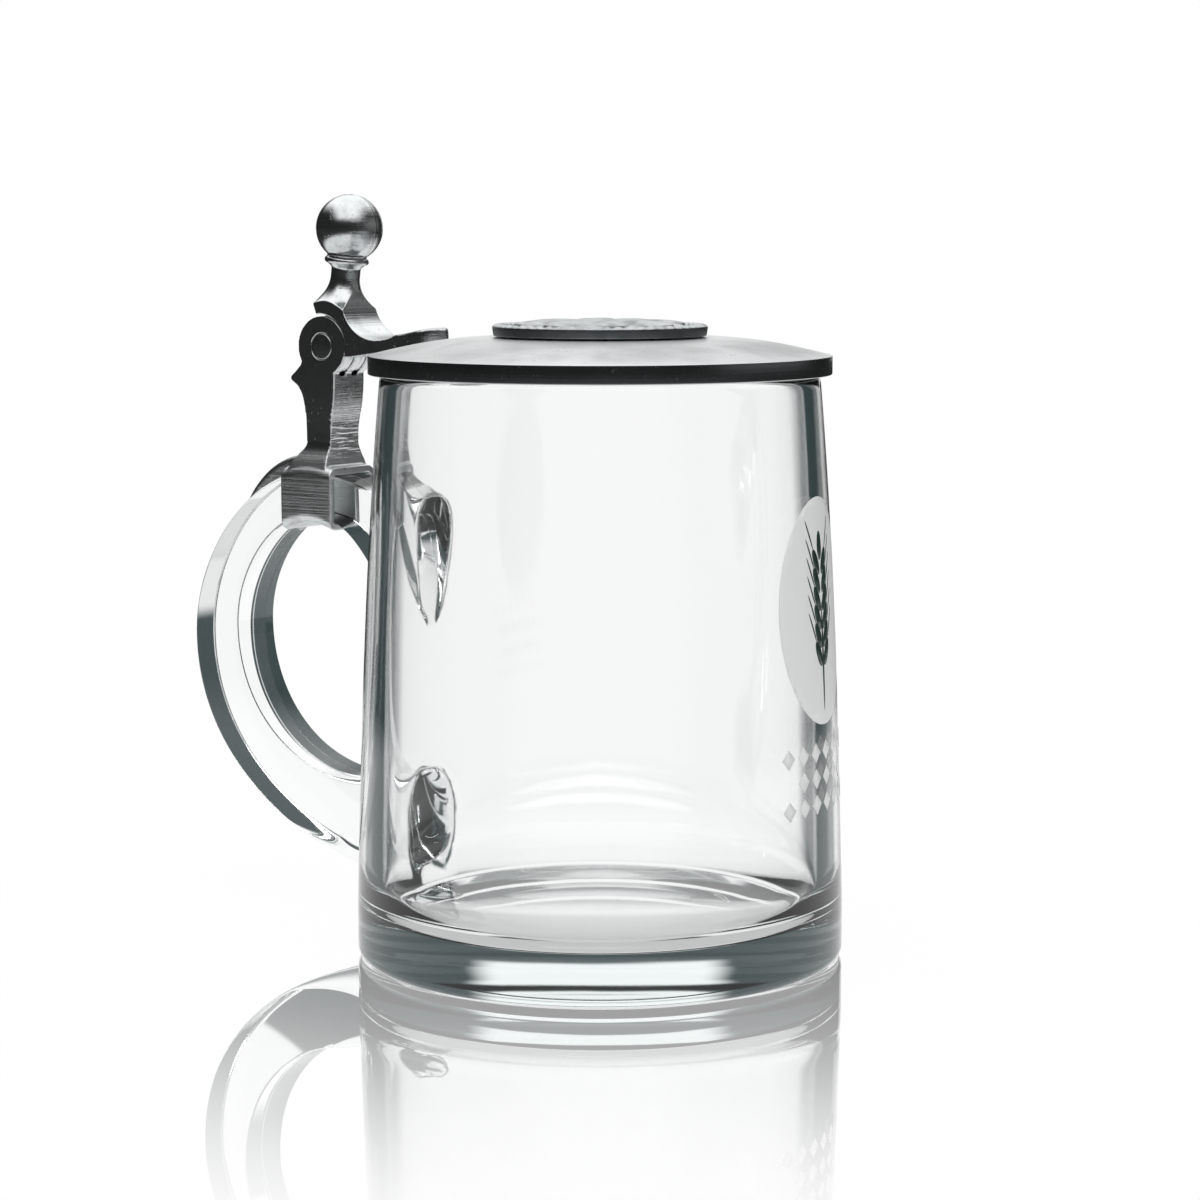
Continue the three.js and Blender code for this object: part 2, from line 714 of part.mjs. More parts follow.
function thumbliftArm() {
  const scoop = at(PLATE_FRONT + SCOOP_RADIUS, TONGUE_HEIGHT + SCOOP_RADIUS);
  const lidEdge = HINGE_STANDOFF;
  const tip = at(lidEdge + TONGUE_OVERLAP, TONGUE_THICKNESS + LID_RISE / 4 - HINGE_LIFT);
  const under = -RING_RADIUS / 3;
  const side = [
    at(0, under),
    at(RING_CLEAR_RADIUS + LUG_ROOT, under),
    at(lidEdge - JOINT_GAP, -HINGE_LIFT),
    at(tip.x, -HINGE_LIFT),
    ...bezier(
      at(tip.x, tip.y - TONGUE_THICKNESS / 2),
      at(tip.x, tip.y),
      at(tip.x - TONGUE_ROUNDING / 2, tip.y),
      at(tip.x - TONGUE_ROUNDING, tip.y),
    ),
    ...arc(scoop.x, scoop.y, SCOOP_RADIUS, SCOOP_END, 180, 2 * CURVE_STEPS),
    at(0, scoop.y),
  ];
  const wide = PLATE_WIDTH / 2;
  const slim = TONGUE_WIDTH / 2;
  const narrowing = (scoop.x + lidEdge) / 2;
  const left = [
    at(-PLATE_BACK / 2, wide),
    ...bezier(at(scoop.x, wide), at(narrowing, wide), at(narrowing, slim), at(lidEdge, slim)),
    ...bezier(at(tip.x - slim, slim), at(tip.x - slim / 2, slim), at(tip.x, slim / 2), at(tip.x, 0)),
  ];
  const right = left.slice(0, -1).map((p) => at(p.x, -p.y));
  const plan = [...right, ...left.reverse()];
  const prism = prismAlongZ(plan, -RING_RADIUS, PLATE_RISE - BELL_DROP);
  return prismAlongY(side, 2 * PLATE_WIDTH).intersect(prism);
}

// A lug is a disc on the pin that widens into the plate over the part of its turn that faces it.
function lug(y) {
  const from = -12;
  const to = 98;
  const web = arc(0, 0, RING_CLEAR_RADIUS + LUG_ROOT, from, to, 2 * CURVE_STEPS);
  const disc = arc(0, 0, RING_RADIUS - JOINT_GAP, to, from + 360, 3 * CURVE_STEPS);
  return prismAlongY([...web, ...disc], LUG_WIDTH, y);
}

function thumblift() {
  return thumbliftPlate()
    .add(thumbliftArm())
    .subtract(hingeRod(RING_CLEAR_RADIUS, 2 * PLATE_WIDTH))
    .add(lug(-LUG_OFFSET))
    .add(lug(LUG_OFFSET))
    .subtract(hingeRod(BORE_RADIUS, 2 * PLATE_WIDTH))
    .subtract(lidKeepOut().translate(HINGE.clone().negate().toArray()))
    .add(thumbliftBall());
}

// Materials

const glass = new THREE.MeshStandardMaterial({
  color: 0xe8f0f0,
  roughness: 0.03,
  metalness: 0,
  transparent: true,
  opacity: 0.35,
});
const pewter = new THREE.MeshStandardMaterial({ color: 0x7d8486, roughness: 0.36, metalness: 1 });
const darkPewter = new THREE.MeshStandardMaterial({ color: 0x666d70, roughness: 0.42, metalness: 1 });
const steel = new THREE.MeshStandardMaterial({ color: 0xa6abad, roughness: 0.28, metalness: 1 });

// Assembly

function piece(name, manifold, material) {
  const mesh = new THREE.Mesh(geometryOf(manifold), material);
  mesh.name = name;
  return mesh;
}

const pin = new THREE.Group();
pin.position.copy(HINGE);
pin.add(piece("hinge_pin", hingePin(), steel));
for (const [name, side] of [["pin_plug_left", -1], ["pin_plug_right", 1]]) {
  const plug = piece(name, pinPlug(), darkPewter);
  plug.position.y = (side * (HINGE_WIDTH - PLUG_DEPTH)) / 2;
  pin.add(plug);
}

const lid = new THREE.Group();
lid.position.copy(HINGE);
lid.add(piece("thumblift", thumblift(), pewter));
for (const mesh of [piece("lid_plate", lidPlate(), pewter), piece("lid_medallion", lidMedallion(), pewter)]) {
  mesh.position.copy(HINGE).negate();
  lid.add(mesh);
}

const mug = new THREE.Group();
mug.add(
  piece("glass_body", glassBody(), glass),
  piece("glass_handle", glassHandle(), glass),
  piece("hinge_mount", hingeMount(), darkPewter),
  pin,
  lid,
);

export default mug;
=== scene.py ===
"""Looks of a half-litre glass mug with a hinged pewter lid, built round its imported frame. Metres, +Z up."""

import json
import math
from contextlib import contextmanager

import bmesh
import bpy
from bpy.props import FloatProperty, FloatVectorProperty, PointerProperty
from mathutils import Matrix, Vector
from mathutils.geometry import interpolate_bezier
from mathutils.kdtree import KDTree


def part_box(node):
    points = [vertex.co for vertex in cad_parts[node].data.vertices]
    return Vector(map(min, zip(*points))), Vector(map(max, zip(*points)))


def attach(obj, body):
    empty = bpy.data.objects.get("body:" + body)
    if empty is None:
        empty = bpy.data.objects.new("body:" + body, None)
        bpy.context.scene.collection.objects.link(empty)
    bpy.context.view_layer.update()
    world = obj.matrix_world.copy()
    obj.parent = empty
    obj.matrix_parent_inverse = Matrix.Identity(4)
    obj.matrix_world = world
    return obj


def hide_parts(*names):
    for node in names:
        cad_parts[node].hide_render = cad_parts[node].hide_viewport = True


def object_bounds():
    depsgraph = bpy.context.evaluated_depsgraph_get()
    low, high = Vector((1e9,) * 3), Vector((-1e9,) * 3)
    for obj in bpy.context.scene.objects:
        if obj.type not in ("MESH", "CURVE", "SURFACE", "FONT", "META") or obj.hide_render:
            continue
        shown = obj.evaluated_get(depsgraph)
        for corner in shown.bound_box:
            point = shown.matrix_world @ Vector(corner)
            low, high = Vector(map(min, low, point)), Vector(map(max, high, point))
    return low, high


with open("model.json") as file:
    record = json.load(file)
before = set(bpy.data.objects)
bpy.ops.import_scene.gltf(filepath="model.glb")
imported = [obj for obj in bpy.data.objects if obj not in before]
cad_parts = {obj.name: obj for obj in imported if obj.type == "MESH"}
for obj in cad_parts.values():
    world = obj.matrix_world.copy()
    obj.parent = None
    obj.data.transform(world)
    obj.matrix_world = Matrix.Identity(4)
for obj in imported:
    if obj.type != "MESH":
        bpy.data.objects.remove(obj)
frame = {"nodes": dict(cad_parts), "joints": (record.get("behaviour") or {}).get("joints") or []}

bl_info = {
    "name": "Lidded Glass Mug",
    "version": (1, 0, 0),
    "blender": (4, 5, 0),
    "location": "3D View > Sidebar > Mug",
    "description": "Models and finishes a lidded glass mug round its packed frame",
    "category": "Object",
}

MM = 0.001
CAD_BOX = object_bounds()

# Fineness of the meshes
WELD_DISTANCE = 0.0001 * MM
ARC_STEPS = 10
EDGE_STEPS = 4
ROUND_STEPS = 128

# Places that the frame gives
_, BODY_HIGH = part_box("glass_body")
HANDLE_LOW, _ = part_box("glass_handle")
LID_LOW, LID_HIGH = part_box("lid_plate")
MEDALLION_LOW, MEDALLION_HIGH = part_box("lid_medallion")
PLUG_LOW, PLUG_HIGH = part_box("pin_plug_left")
HINGE = Vector(frame["joints"][0]["pos_m"])
GLASS_HEIGHT = BODY_HIGH.z
FOOT_RADIUS = BODY_HIGH.y
HANDLE_REACH = -HANDLE_LOW.x
LID_RADIUS = LID_HIGH.y
LID_SEAT = LID_HIGH.z
HINGE_HALF = -PLUG_LOW.y

# Glass body
FOOT_HEIGHT = 11 * MM
HEEL_ROUNDING = 2.4 * MM
FLOOR_CORNER = 8 * MM
FLOOR_CORNER_WIDTH = 6 * MM
FLOOR_RING_SHARE = 0.6
SIDE_LEAN_LOW = 0.03
SIDE_LEAN_HIGH = 0.09
PUNT_RISE = 1.3 * MM
PUNT_SHARE = 0.86
PUNT_STEPS = 24
BODY_STEPS = 256
SIDE_STEPS = 64

# Glass handle: heights of its roots, crest and belly, and the pull of its curves as shares of each leg
CREST_X = HINGE.x - 2.8 * MM
CREST_HEIGHT = 93.4 * MM
CREST_THICKNESS = 9 * MM
BELLY_HEIGHT = 57 * MM
BELLY_THICKNESS = 12.4 * MM
BELLY_STAGGER = 3 * MM
TOP_ROOT_HIGH = 88.6 * MM
TOP_ROOT_LOW = 59 * MM
FOOT_ROOT_HIGH = 33 * MM
FOOT_ROOT_LOW = 8 * MM
ROOT_SINK = 2 * MM
TAIL_WIDTH_SHARE = 0.25
ARM_PULL = 0.4
SHOULDER_PULL = 0.5
BELLY_PULL = 0.55
FOOT_PULL = 0.55
FOOT_SLOPE = 0.12
WEB_OUT_PULL = 0.28
WEB_UP_PULL = 0.47
PALM_PULL = 0.95
PALM_FOOT_PULL = 0.38
PALM_FOOT_DIP = 0.4
FLARE_LENGTH = 0.6
ROUNDING_LENGTH = 0.35
BACK_CORNER = 0.7 * MM
PALM_CORNER = 0.3 * MM
CORNER_STEPS = 14
FLAT_MARGIN = 0.25 * MM
FLAT_SHARE = 0.9
HANDLE_STEPS = 56
STATION_HALVINGS = 40
SEAM_WELD = 0.02 * MM
SEAM_REACH = 1.8 * MM
SEAM_PASSES = 14

# Hinge
RING_RADIUS = 6.35 * MM
RING_WIDTH = 2.1 * MM
LUG_WIDTH = 1.5 * MM
LUG_SIDE_CLEARANCE = 0.18 * MM
LUG_TOP_CLEARANCE = 0.4 * MM
LUG_ROOT = 1 * MM
LUG_GAP = 0.3 * MM
LUG_WEB_START = -12
LUG_WEB_END = 98
BORE_RADIUS = 1.75 * MM
PLUG_RADIUS = PLUG_HIGH.z - HINGE.z
PLUG_CLEARANCE = 0.15 * MM
PLUG_BREAK = 0.16 * MM
PLUG_RIM_ANGLE = math.radians(60)
PLUG_STEPS = 64
SEAT_DEPTH = 1.2 * MM
RING_CLEAR_RADIUS = RING_RADIUS + LUG_TOP_CLEARANCE
SLOT_WIDTH = LUG_WIDTH + 2 * LUG_SIDE_CLEARANCE
LUG_OFFSET = (RING_WIDTH + SLOT_WIDTH) / 2

# Mount
SHANK_WAIST = 6.4 * MM
SHANK_WAIST_WIDTH = 9.2 * MM
SHANK_WAIST_SHARE = 0.25
SHANK_FORWARD = 1.4 * MM
SHANK_BLEND_SHARE = 0.33
STOP_REACH = 2.2 * MM
STOP_DROP = 6.7 * MM
STOP_NOSE = 0.8 * MM
STOP_ROOT = (-0.92, -0.62)
COLLAR_LENGTH = 12.5 * MM
COLLAR_WALL = 1.6 * MM
COLLAR_GAP = 0.15 * MM
COLLAR_SWELL = 0.7 * MM
LEAF_LENGTH = 15 * MM
LEAF_WIDTH = 9.5 * MM
LEAF_TIP_WIDTH = 1.6 * MM
LEAF_THICKNESS = 3.6 * MM
LEAF_TIP_THICKNESS = 1.5 * MM
LEAF_CORNER = 1.2 * MM
COLLAR_TOP = CREST_HEIGHT + COLLAR_WALL
SHANK_FOOT = CREST_HEIGHT - CREST_THICKNESS / 3
SHANK_TOP = HINGE.z - RING_RADIUS
SHANK_WAIST_Z = COLLAR_TOP + SHANK_WAIST_SHARE * (SHANK_TOP - COLLAR_TOP)
SHANK_BLEND = SHANK_BLEND_SHARE * (SHANK_TOP - COLLAR_TOP)

# Lid
LID_EDGE = 3.1 * MM
LID_SHEET = 2.2 * MM
LID_DROP = 0.2 * MM
LID_EDGE_PULL = 0.3
LID_SEAT_PULL = 0.4
EDGE_BREAK = 0.25 * MM
SEAT_MARGIN = 0.6 * MM
LIP_DEPTH = 0.6 * MM
LIP_CLEARANCE = 0.7 * MM
FLANGE_WALL = 1.8 * MM
FLANGE_RADIUS = 38.9 * MM
LID_STEPS = 256
LID_CREASE = math.radians(40)
LID_BOTTOM = HINGE.z - LID_EDGE - LID_DROP
LID_EDGE_TOP = LID_BOTTOM + LID_EDGE

# Medallion
MEDALLION_RADIUS = MEDALLION_HIGH.y
MEDALLION_EDGE = 2 * MM
MEDALLION_BORDER = 2.4 * MM
FIELD_DEPTH = 0.5 * MM
FIELD_DOME = 1.8 * MM
FIELD_EDGE = MEDALLION_RADIUS - MEDALLION_BORDER
MEDALLION_TOP = MEDALLION_LOW.z + MEDALLION_EDGE
FIELD_LOW = MEDALLION_TOP - FIELD_DEPTH
ROSETTE_RADIUS = 15 * MM
ROSETTE_EYE = 3 * MM
ROSETTE_PETALS = 8
PETAL_WIDTH_SHARE = 0.5
PETAL_HEIGHT = 0.3 * MM
PETAL_SINK = 2
EYE_HEIGHT = 0.8 * PETAL_HEIGHT
BORDER_BEADS = 56
BEAD_SIZE = 0.8 * MM
BEAD_SINK = 0.5
BEAD_LENGTH = 1.4 * BEAD_SIZE
BEAD_TWIST = math.radians(35)
MOUND_DETAIL = 4
MEDALLION_PASSES = 2

# Thumblift, measured from the hinge
PLATE_WIDTH = 11 * MM
PLATE_BACK = 1.8 * MM
PLATE_FRONT = 5.7 * MM
PLATE_RISE = 8.8 * MM
STEM_LEAN = math.radians(7)
STEM_FORWARD = 1.8 * MM
NECK_RADIUS = 3.05 * MM
NECK_HEIGHT = 5.8 * MM
BELL_RADIUS = 9 * MM
BELL_DROP = 1.4 * MM
BEAD_RADIUS = 4.65 * MM
BEAD_HEIGHT = 9.1 * MM
BEAD_THICKNESS = 1.5 * MM
BALL_RADIUS = 6.98 * MM
BALL_HEIGHT = 15.8 * MM
BALL_MARGIN = 0.1 * BALL_RADIUS
SCOOP_RADIUS = 9 * MM
SCOOP_END = 300
TONGUE_HEIGHT = 1.6 * MM
TONGUE_WIDTH = 8.6 * MM
TONGUE_OVERLAP = 7 * MM
TONGUE_THICKNESS = 3.7 * MM
TONGUE_ROUNDING = 1.5 * MM
TONGUE_PASSES = 40
TONGUE_LIFT = 0.85 * MM
SEAM_HALF_WIDTH = 0.3 * MM
SEAM_HEIGHT = 0.12 * MM
LID_GAP = 0.05 * MM
LID_REACH = -LID_RADIUS - HINGE.x

# Print on the side away from the handle: a white oval with an ear of barley over rows of lozenges
PRINT_TURN = math.radians(12)
PRINT_GAP = 0.02 * MM
PRINT_THICKNESS = 0.03 * MM
PRINT_GRID = 2 * MM
OVAL_MIDDLE = 71 * MM
OVAL_HEIGHT = 44 * MM
OVAL_WIDTH = 33 * MM
EAR_FOOT = 52 * MM
EAR_HEIGHT = 34 * MM
EAR_ROWS = 6
EAR_FIRST_ROW = 0.32 * EAR_HEIGHT
EAR_LAST_ROW = 0.84 * EAR_HEIGHT
EAR_TIP = 0.93 * EAR_HEIGHT
STALK_MIDDLE = 0.3 * EAR_HEIGHT
STALK_LENGTH = 0.62 * EAR_HEIGHT
STALK_WIDTH = 0.8 * MM
GRAIN_LENGTH = 5.6 * MM
GRAIN_WIDTH = 2.3 * MM
GRAIN_OUT = 2 * MM
GRAIN_LEAN = math.radians(28)
BEARD_LENGTH = 7 * MM
BEARD_WIDTH = 0.45 * MM
BEARD_OUT = 4.6 * MM
BEARD_UP = 5.2 * MM
OVAL_SIDES = 96
GRAIN_SIDES = 24
BEARD_SIDES = 12
LOZENGE_TOP = 44 * MM
LOZENGE_PITCH = 5 * MM
LOZENGE_SIZE = 0.8 * LOZENGE_PITCH
LOZENGE_ROWS = (3, 2, 3)

# Cast skins
CAST_VOXEL = 0.2 * MM
LIFT_VOXEL = 0.17 * MM
CAST_PASSES = 4
FILED_TOP = 98.5 * MM

# Stage
WHITE = (1, 1, 1)
FLOOR_RADIUS = 4.0
FLOOR_DROP = 0.02 * MM
SENSOR_WIDTH = 36
LAMP_PLACE = (0.05, -0.15, 0.75)
LAMP_SIZE = 0.45
LAMP_POWER = 3.0


def length_setting(name, description, default):
    return FloatProperty(name=name, description=description, default=default, unit="LENGTH")


def angle_setting(name, description, degrees):
    turn = math.radians(degrees)
    return FloatProperty(name=name, description=description, default=turn, subtype="ANGLE")


def color_setting(name, description, default):
    return FloatVectorProperty(
        name=name, description=description, default=default, subtype="COLOR", min=0, max=1
    )


class GlassSettings(bpy.types.PropertyGroup):
    """Sizes and tint of the glass."""

    rim_radius: length_setting("Rim Radius", "Outer radius of the glass at its rim", 43.2 * MM)
    rim_wall: length_setting("Rim Wall", "Thickness of the wall at the rim", 3.4 * MM)
    foot_wall: length_setting("Foot Wall", "Thickness of the wall just above the floor", 4.8 * MM)
    floor_thickness: length_setting("Floor Thickness", "Thickness of the glass under the drink", 9 * MM)
    handle_width: length_setting(
        "Handle Width", "Width of the handle bar across its flat sides", 11.5 * MM
    )
    root_width: length_setting(
        "Root Width", "Width of the handle where it flares into the body", 18 * MM
    )
    tint: color_setting("Tint", "Colour that light takes on in thick glass", (0.35, 0.74, 0.70))
    tint_density: FloatProperty(
        name="Tint Density",
        description="How fast the tint builds up, per metre of glass",
        default=1.6,
    )


class PewterSettings(bpy.types.PropertyGroup):
    """Colours of the pewter and the pin."""

    cast: color_setting("Cast Pewter", "Colour of the filed castings", (0.66, 0.68, 0.685))
    turned: color_setting("Turned Pewter", "Colour of the turned lid", (0.76, 0.775, 0.78))
    # This dark colour is real tarnish in pits and hollows, and also painted shade on the upright faces of the
    # lid's edge and the medallion's rim.
    patina_and_shade: color_setting("Patina", "Dark tarnish in hollows and pits", (0.13, 0.145, 0.15))
    steel: color_setting("Pin Steel", "Colour of the hinge pin", (0.55, 0.56, 0.57))


class PrintSettings(bpy.types.PropertyGroup):
    """Colours of the enamel print."""

    ground: color_setting("Ground", "White enamel of the oval and the lozenges", (0.80, 0.81, 0.80))
    ear: color_setting("Ear", "Dark green enamel of the ear", (0.012, 0.035, 0.028))


class StageSettings(bpy.types.PropertyGroup):
    """Camera and studio light."""

    azimuth: angle_setting("Camera Azimuth", "Turn of the camera round the mug, 0 looks along +Y", 35)
    distance: length_setting(
        "Camera Distance", "Distance of the camera from the axis of the glass", 0.591
    )
    height: length_setting("Camera Height", "Height of the camera above the floor", 0.1442)
    pitch: angle_setting("Camera Pitch", "How far the camera looks down", 7.08)
    lens: FloatProperty(
        name="Lens",
        description="Focal length on a 36 mm sensor",
        default=90,
        unit="CAMERA",
    )
    shade: color_setting(
        "Dark Card", "Colour of the dark cards, as the glass shows them", (0.042, 0.062, 0.064)
    )


SETTINGS = {
    "mug_glass": GlassSettings,
    "mug_pewter": PewterSettings,
    "mug_print": PrintSettings,
    "mug_stage": StageSettings,
}


# Curves


def at(x, z):
    """A point of the upright plane y = 0."""
    return Vector((x, 0.0, z))


def bezier(start, pull_start, pull_end, end, steps=ARC_STEPS):
    return interpolate_bezier(start, pull_start, pull_end, end, steps + 1)


def curve_weights(share):
    """Weights of the four points of a Bezier curve."""
    rest = 1 - share
    return rest**3, 3 * rest**2 * share, 3 * rest * share**2, share**3


def curve_point(curve, share):
    weighted = (point * weight for point, weight in zip(curve, curve_weights(share)))
    return sum(weighted, Vector())


def arc(centre, radius, start, end, steps=ARC_STEPS):
    """Points of an arc in the plane y = 0, from one angle to another in degrees."""
    turns = [math.radians(start + (end - start) * i / steps) for i in range(steps + 1)]
    return [centre + radius * at(math.cos(t), math.sin(t)) for t in turns]


def mix(a, b, share):
    return a + (b - a) * share


# Meshes


def new_object(name, bm):
    """An object of a finished bmesh, with its faces turned outwards."""
    bmesh.ops.remove_doubles(bm, verts=bm.verts, dist=WELD_DISTANCE)
    bmesh.ops.recalc_face_normals(bm, faces=bm.faces)
    mesh = bpy.data.meshes.new(name)
    bm.to_mesh(mesh)
    bm.free()
    obj = bpy.data.objects.new(name, mesh)
    bpy.context.scene.collection.objects.link(obj)
    return obj


@contextmanager
def editing(obj):
    """Opens an object's mesh as a bmesh and writes it back."""
    bm = bmesh.new()
    bm.from_mesh(obj.data)
    yield bm
    bm.to_mesh(obj.data)
    bm.free()


def soften(bm, verts, passes):
    """Evens out some vertices of a bmesh."""
    for _ in range(passes):
        bmesh.ops.smooth_vert(
            bm, verts=verts, factor=0.5, use_axis_x=True, use_axis_y=True, use_axis_z=True
        )
    bm.normal_update()


def extrude(bm, faces, travel):
    """Extrudes faces of a bmesh along a vector."""
    made = bmesh.ops.extrude_face_region(bm, geom=faces)
    moved = [item for item in made["geom"] if isinstance(item, bmesh.types.BMVert)]
    bmesh.ops.translate(bm, verts=moved, vec=travel)


def spin_profile(bm, profile, steps):
    """Spins a profile about Z into a bmesh."""
    verts = [bm.verts.new(point) for point in profile]
    edges = [bm.edges.new(pair) for pair in zip(verts, verts[1:])]
    bmesh.ops.spin(
        bm,
        geom=verts + edges,
        cent=(0, 0, 0),
        axis=(0, 0, 1),
        angle=2 * math.pi,
        steps=steps,
        use_merge=True,
    )


def turned(name, profile, steps, place=Matrix.Identity(4)):
    """A profile spun about Z, then placed."""
    bm = bmesh.new()
    spin_profile(bm, profile, steps)
    bmesh.ops.transform(bm, matrix=place, verts=bm.verts)
    return new_object(name, bm)


def prism(name, outline, travel):
    """An outline extruded along a vector, half of it to each side."""
    bm = bmesh.new()
    travel = Vector(travel)
    face = bm.faces.new([bm.verts.new(point - travel / 2) for point in outline])
    extrude(bm, [face], travel)
    return new_object(name, bm)


def rod(name, radius, width, centre=HINGE, segments=ROUND_STEPS):
    """A round rod along Y."""
    bm = bmesh.new()
    place = Matrix.Translation(centre) @ Matrix.Rotation(math.pi / 2, 4, "X")
    bmesh.ops.create_cone(
        bm,
        cap_ends=True,
        segments=segments,
        radius1=radius,
        radius2=radius,
        depth=width,
        matrix=place,
    )
    return new_object(name, bm)


def corner_points(half, width, corner_half, corner_width):
    """A quarter of a section: flat, round corner, flat."""
    x, y = half - corner_half, width - corner_width
    turns = [math.pi / 2 * i / (CORNER_STEPS - 1) for i in range(CORNER_STEPS)]
    corner = [(x + corner_half * math.cos(t), y + corner_width * math.sin(t)) for t in turns]
    before = (half, max(y - FLAT_MARGIN, y * FLAT_SHARE))
    after = (max(x - FLAT_MARGIN, x * FLAT_SHARE), width)
    return [before, *corner, after]


def section_loop(bm, section, grow=0.0):
    """The vertices of a flat-sided ring with round corners, between two points of the plane y = 0."""
    outer, inner, outer_half, inner_half, outer_corner, inner_corner, rounding = section
    middle = (outer + inner) / 2
    half = (outer - inner).length / 2 + grow
    width = outer_half + grow
    across = (outer - inner).normalized()
    quarters = []
    for corner in (outer_corner, inner_corner):
        corner_half = mix(min(corner + grow, half), half, rounding)
        corner_width = mix(min(corner + grow, width), width, rounding)
        quarters.append(corner_points(half, width, corner_half, corner_width))
    upper = quarters[0] + [(-a, w) for a, w in reversed(quarters[1])]
    places = upper + [(a, -w) for a, w in reversed(upper)]
    loop = bmesh.ops.create_circle(bm, cap_ends=False, segments=len(places), radius=1)["verts"]
    for vert, (along, side) in zip(loop, places):
        taper = mix(inner_half / outer_half, 1, (1 + along / half) / 2)
        vert.co = middle + across * along + Vector((0, side * taper, 0))
    return loop


def loop_edges(loop):
    """The edges of a loop, before it is bridged to another."""
    return list({edge for vert in loop for edge in vert.link_edges})


def loft(name, sections, grow=0.0):
    """Sections bridged one to the next, with a cap at each end."""
    bm = bmesh.new()
    loops = [section_loop(bm, section, grow) for section in sections]
    rims = [loop_edges(loop) for loop in loops]
    for first, second in zip(rims, rims[1:]):
        bmesh.ops.bridge_loops(bm, edges=first + second)
    for loop in (loops[0], loops[-1]):
        bm.faces.new(loop)
    return new_object(name, bm)


def settle(obj):
    """Makes what the object's modifiers give its own mesh."""
    bpy.context.view_layer.update()
    evaluated = obj.evaluated_get(bpy.context.evaluated_depsgraph_get())
    made = bpy.data.meshes.new_from_object(evaluated)
    made.name = obj.name
    obj.modifiers.clear()
    old = obj.data
    obj.data = made
    bpy.data.meshes.remove(old)
    return obj


def combine(obj, tool, operation):
    """Joins a tool to an object, or cuts the object by it, and takes the tool away."""
    join = obj.modifiers.new("join", "BOOLEAN")
    join.operation = operation
    join.solver = "EXACT"
    join.object = tool
    settle(obj)
    spent = tool.data
    bpy.data.objects.remove(tool)
    bpy.data.meshes.remove(spent)
    return obj


def cast_skin(obj, voxel, passes=CAST_PASSES):
    """Gives a joined solid the soft even skin of a casting."""
    skin = obj.modifiers.new("skin", "REMESH")
    skin.mode = "VOXEL"
    skin.voxel_size = voxel
    smooth = obj.modifiers.new("smooth", "SMOOTH")
    smooth.factor = 0.5
    smooth.iterations = passes
    return settle(obj)


def mark_faces(obj, index):
    """Gives all faces one material slot."""
    for polygon in obj.data.polygons:
        polygon.material_index = index


def dress(obj, material, body, slot, *nodes):
    """Finishes a piece: its material, the body that it rides on and the nodes that it stands for."""
    obj.data.materials.clear()
    obj.data.materials.append(material)
    mark_faces(obj, 0)
    obj.data.shade_smooth()
    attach(obj, body)
    if nodes:
        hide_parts(*nodes)


# Shader nodes


class Value:
    """A socket. Arithmetic on it adds Math nodes to its tree."""

    def __init__(self, nodes, socket):
        self.nodes = nodes
        self.socket = socket

    def math(self, operation, *inputs):
        return self.nodes.add("ShaderNodeMath", {"operation": operation}, dict(enumerate(inputs)))

    def __add__(self, other):
        return self.math("ADD", self, other)

    __radd__ = __add__

    def __sub__(self, other):
        return self.math("SUBTRACT", self, other)

    def __rsub__(self, other):
        return self.math("SUBTRACT", other, self)

    def __mul__(self, other):
        return self.math("MULTIPLY", self, other)

    __rmul__ = __mul__

    def __truediv__(self, other):
        return self.math("DIVIDE", self, other)

    def __pow__(self, other):
        return self.math("POWER", self, other)

    def __abs__(self):
        return self.math("ABSOLUTE", self)

    def larger(self, other):
        return self.math("MAXIMUM", self, other)


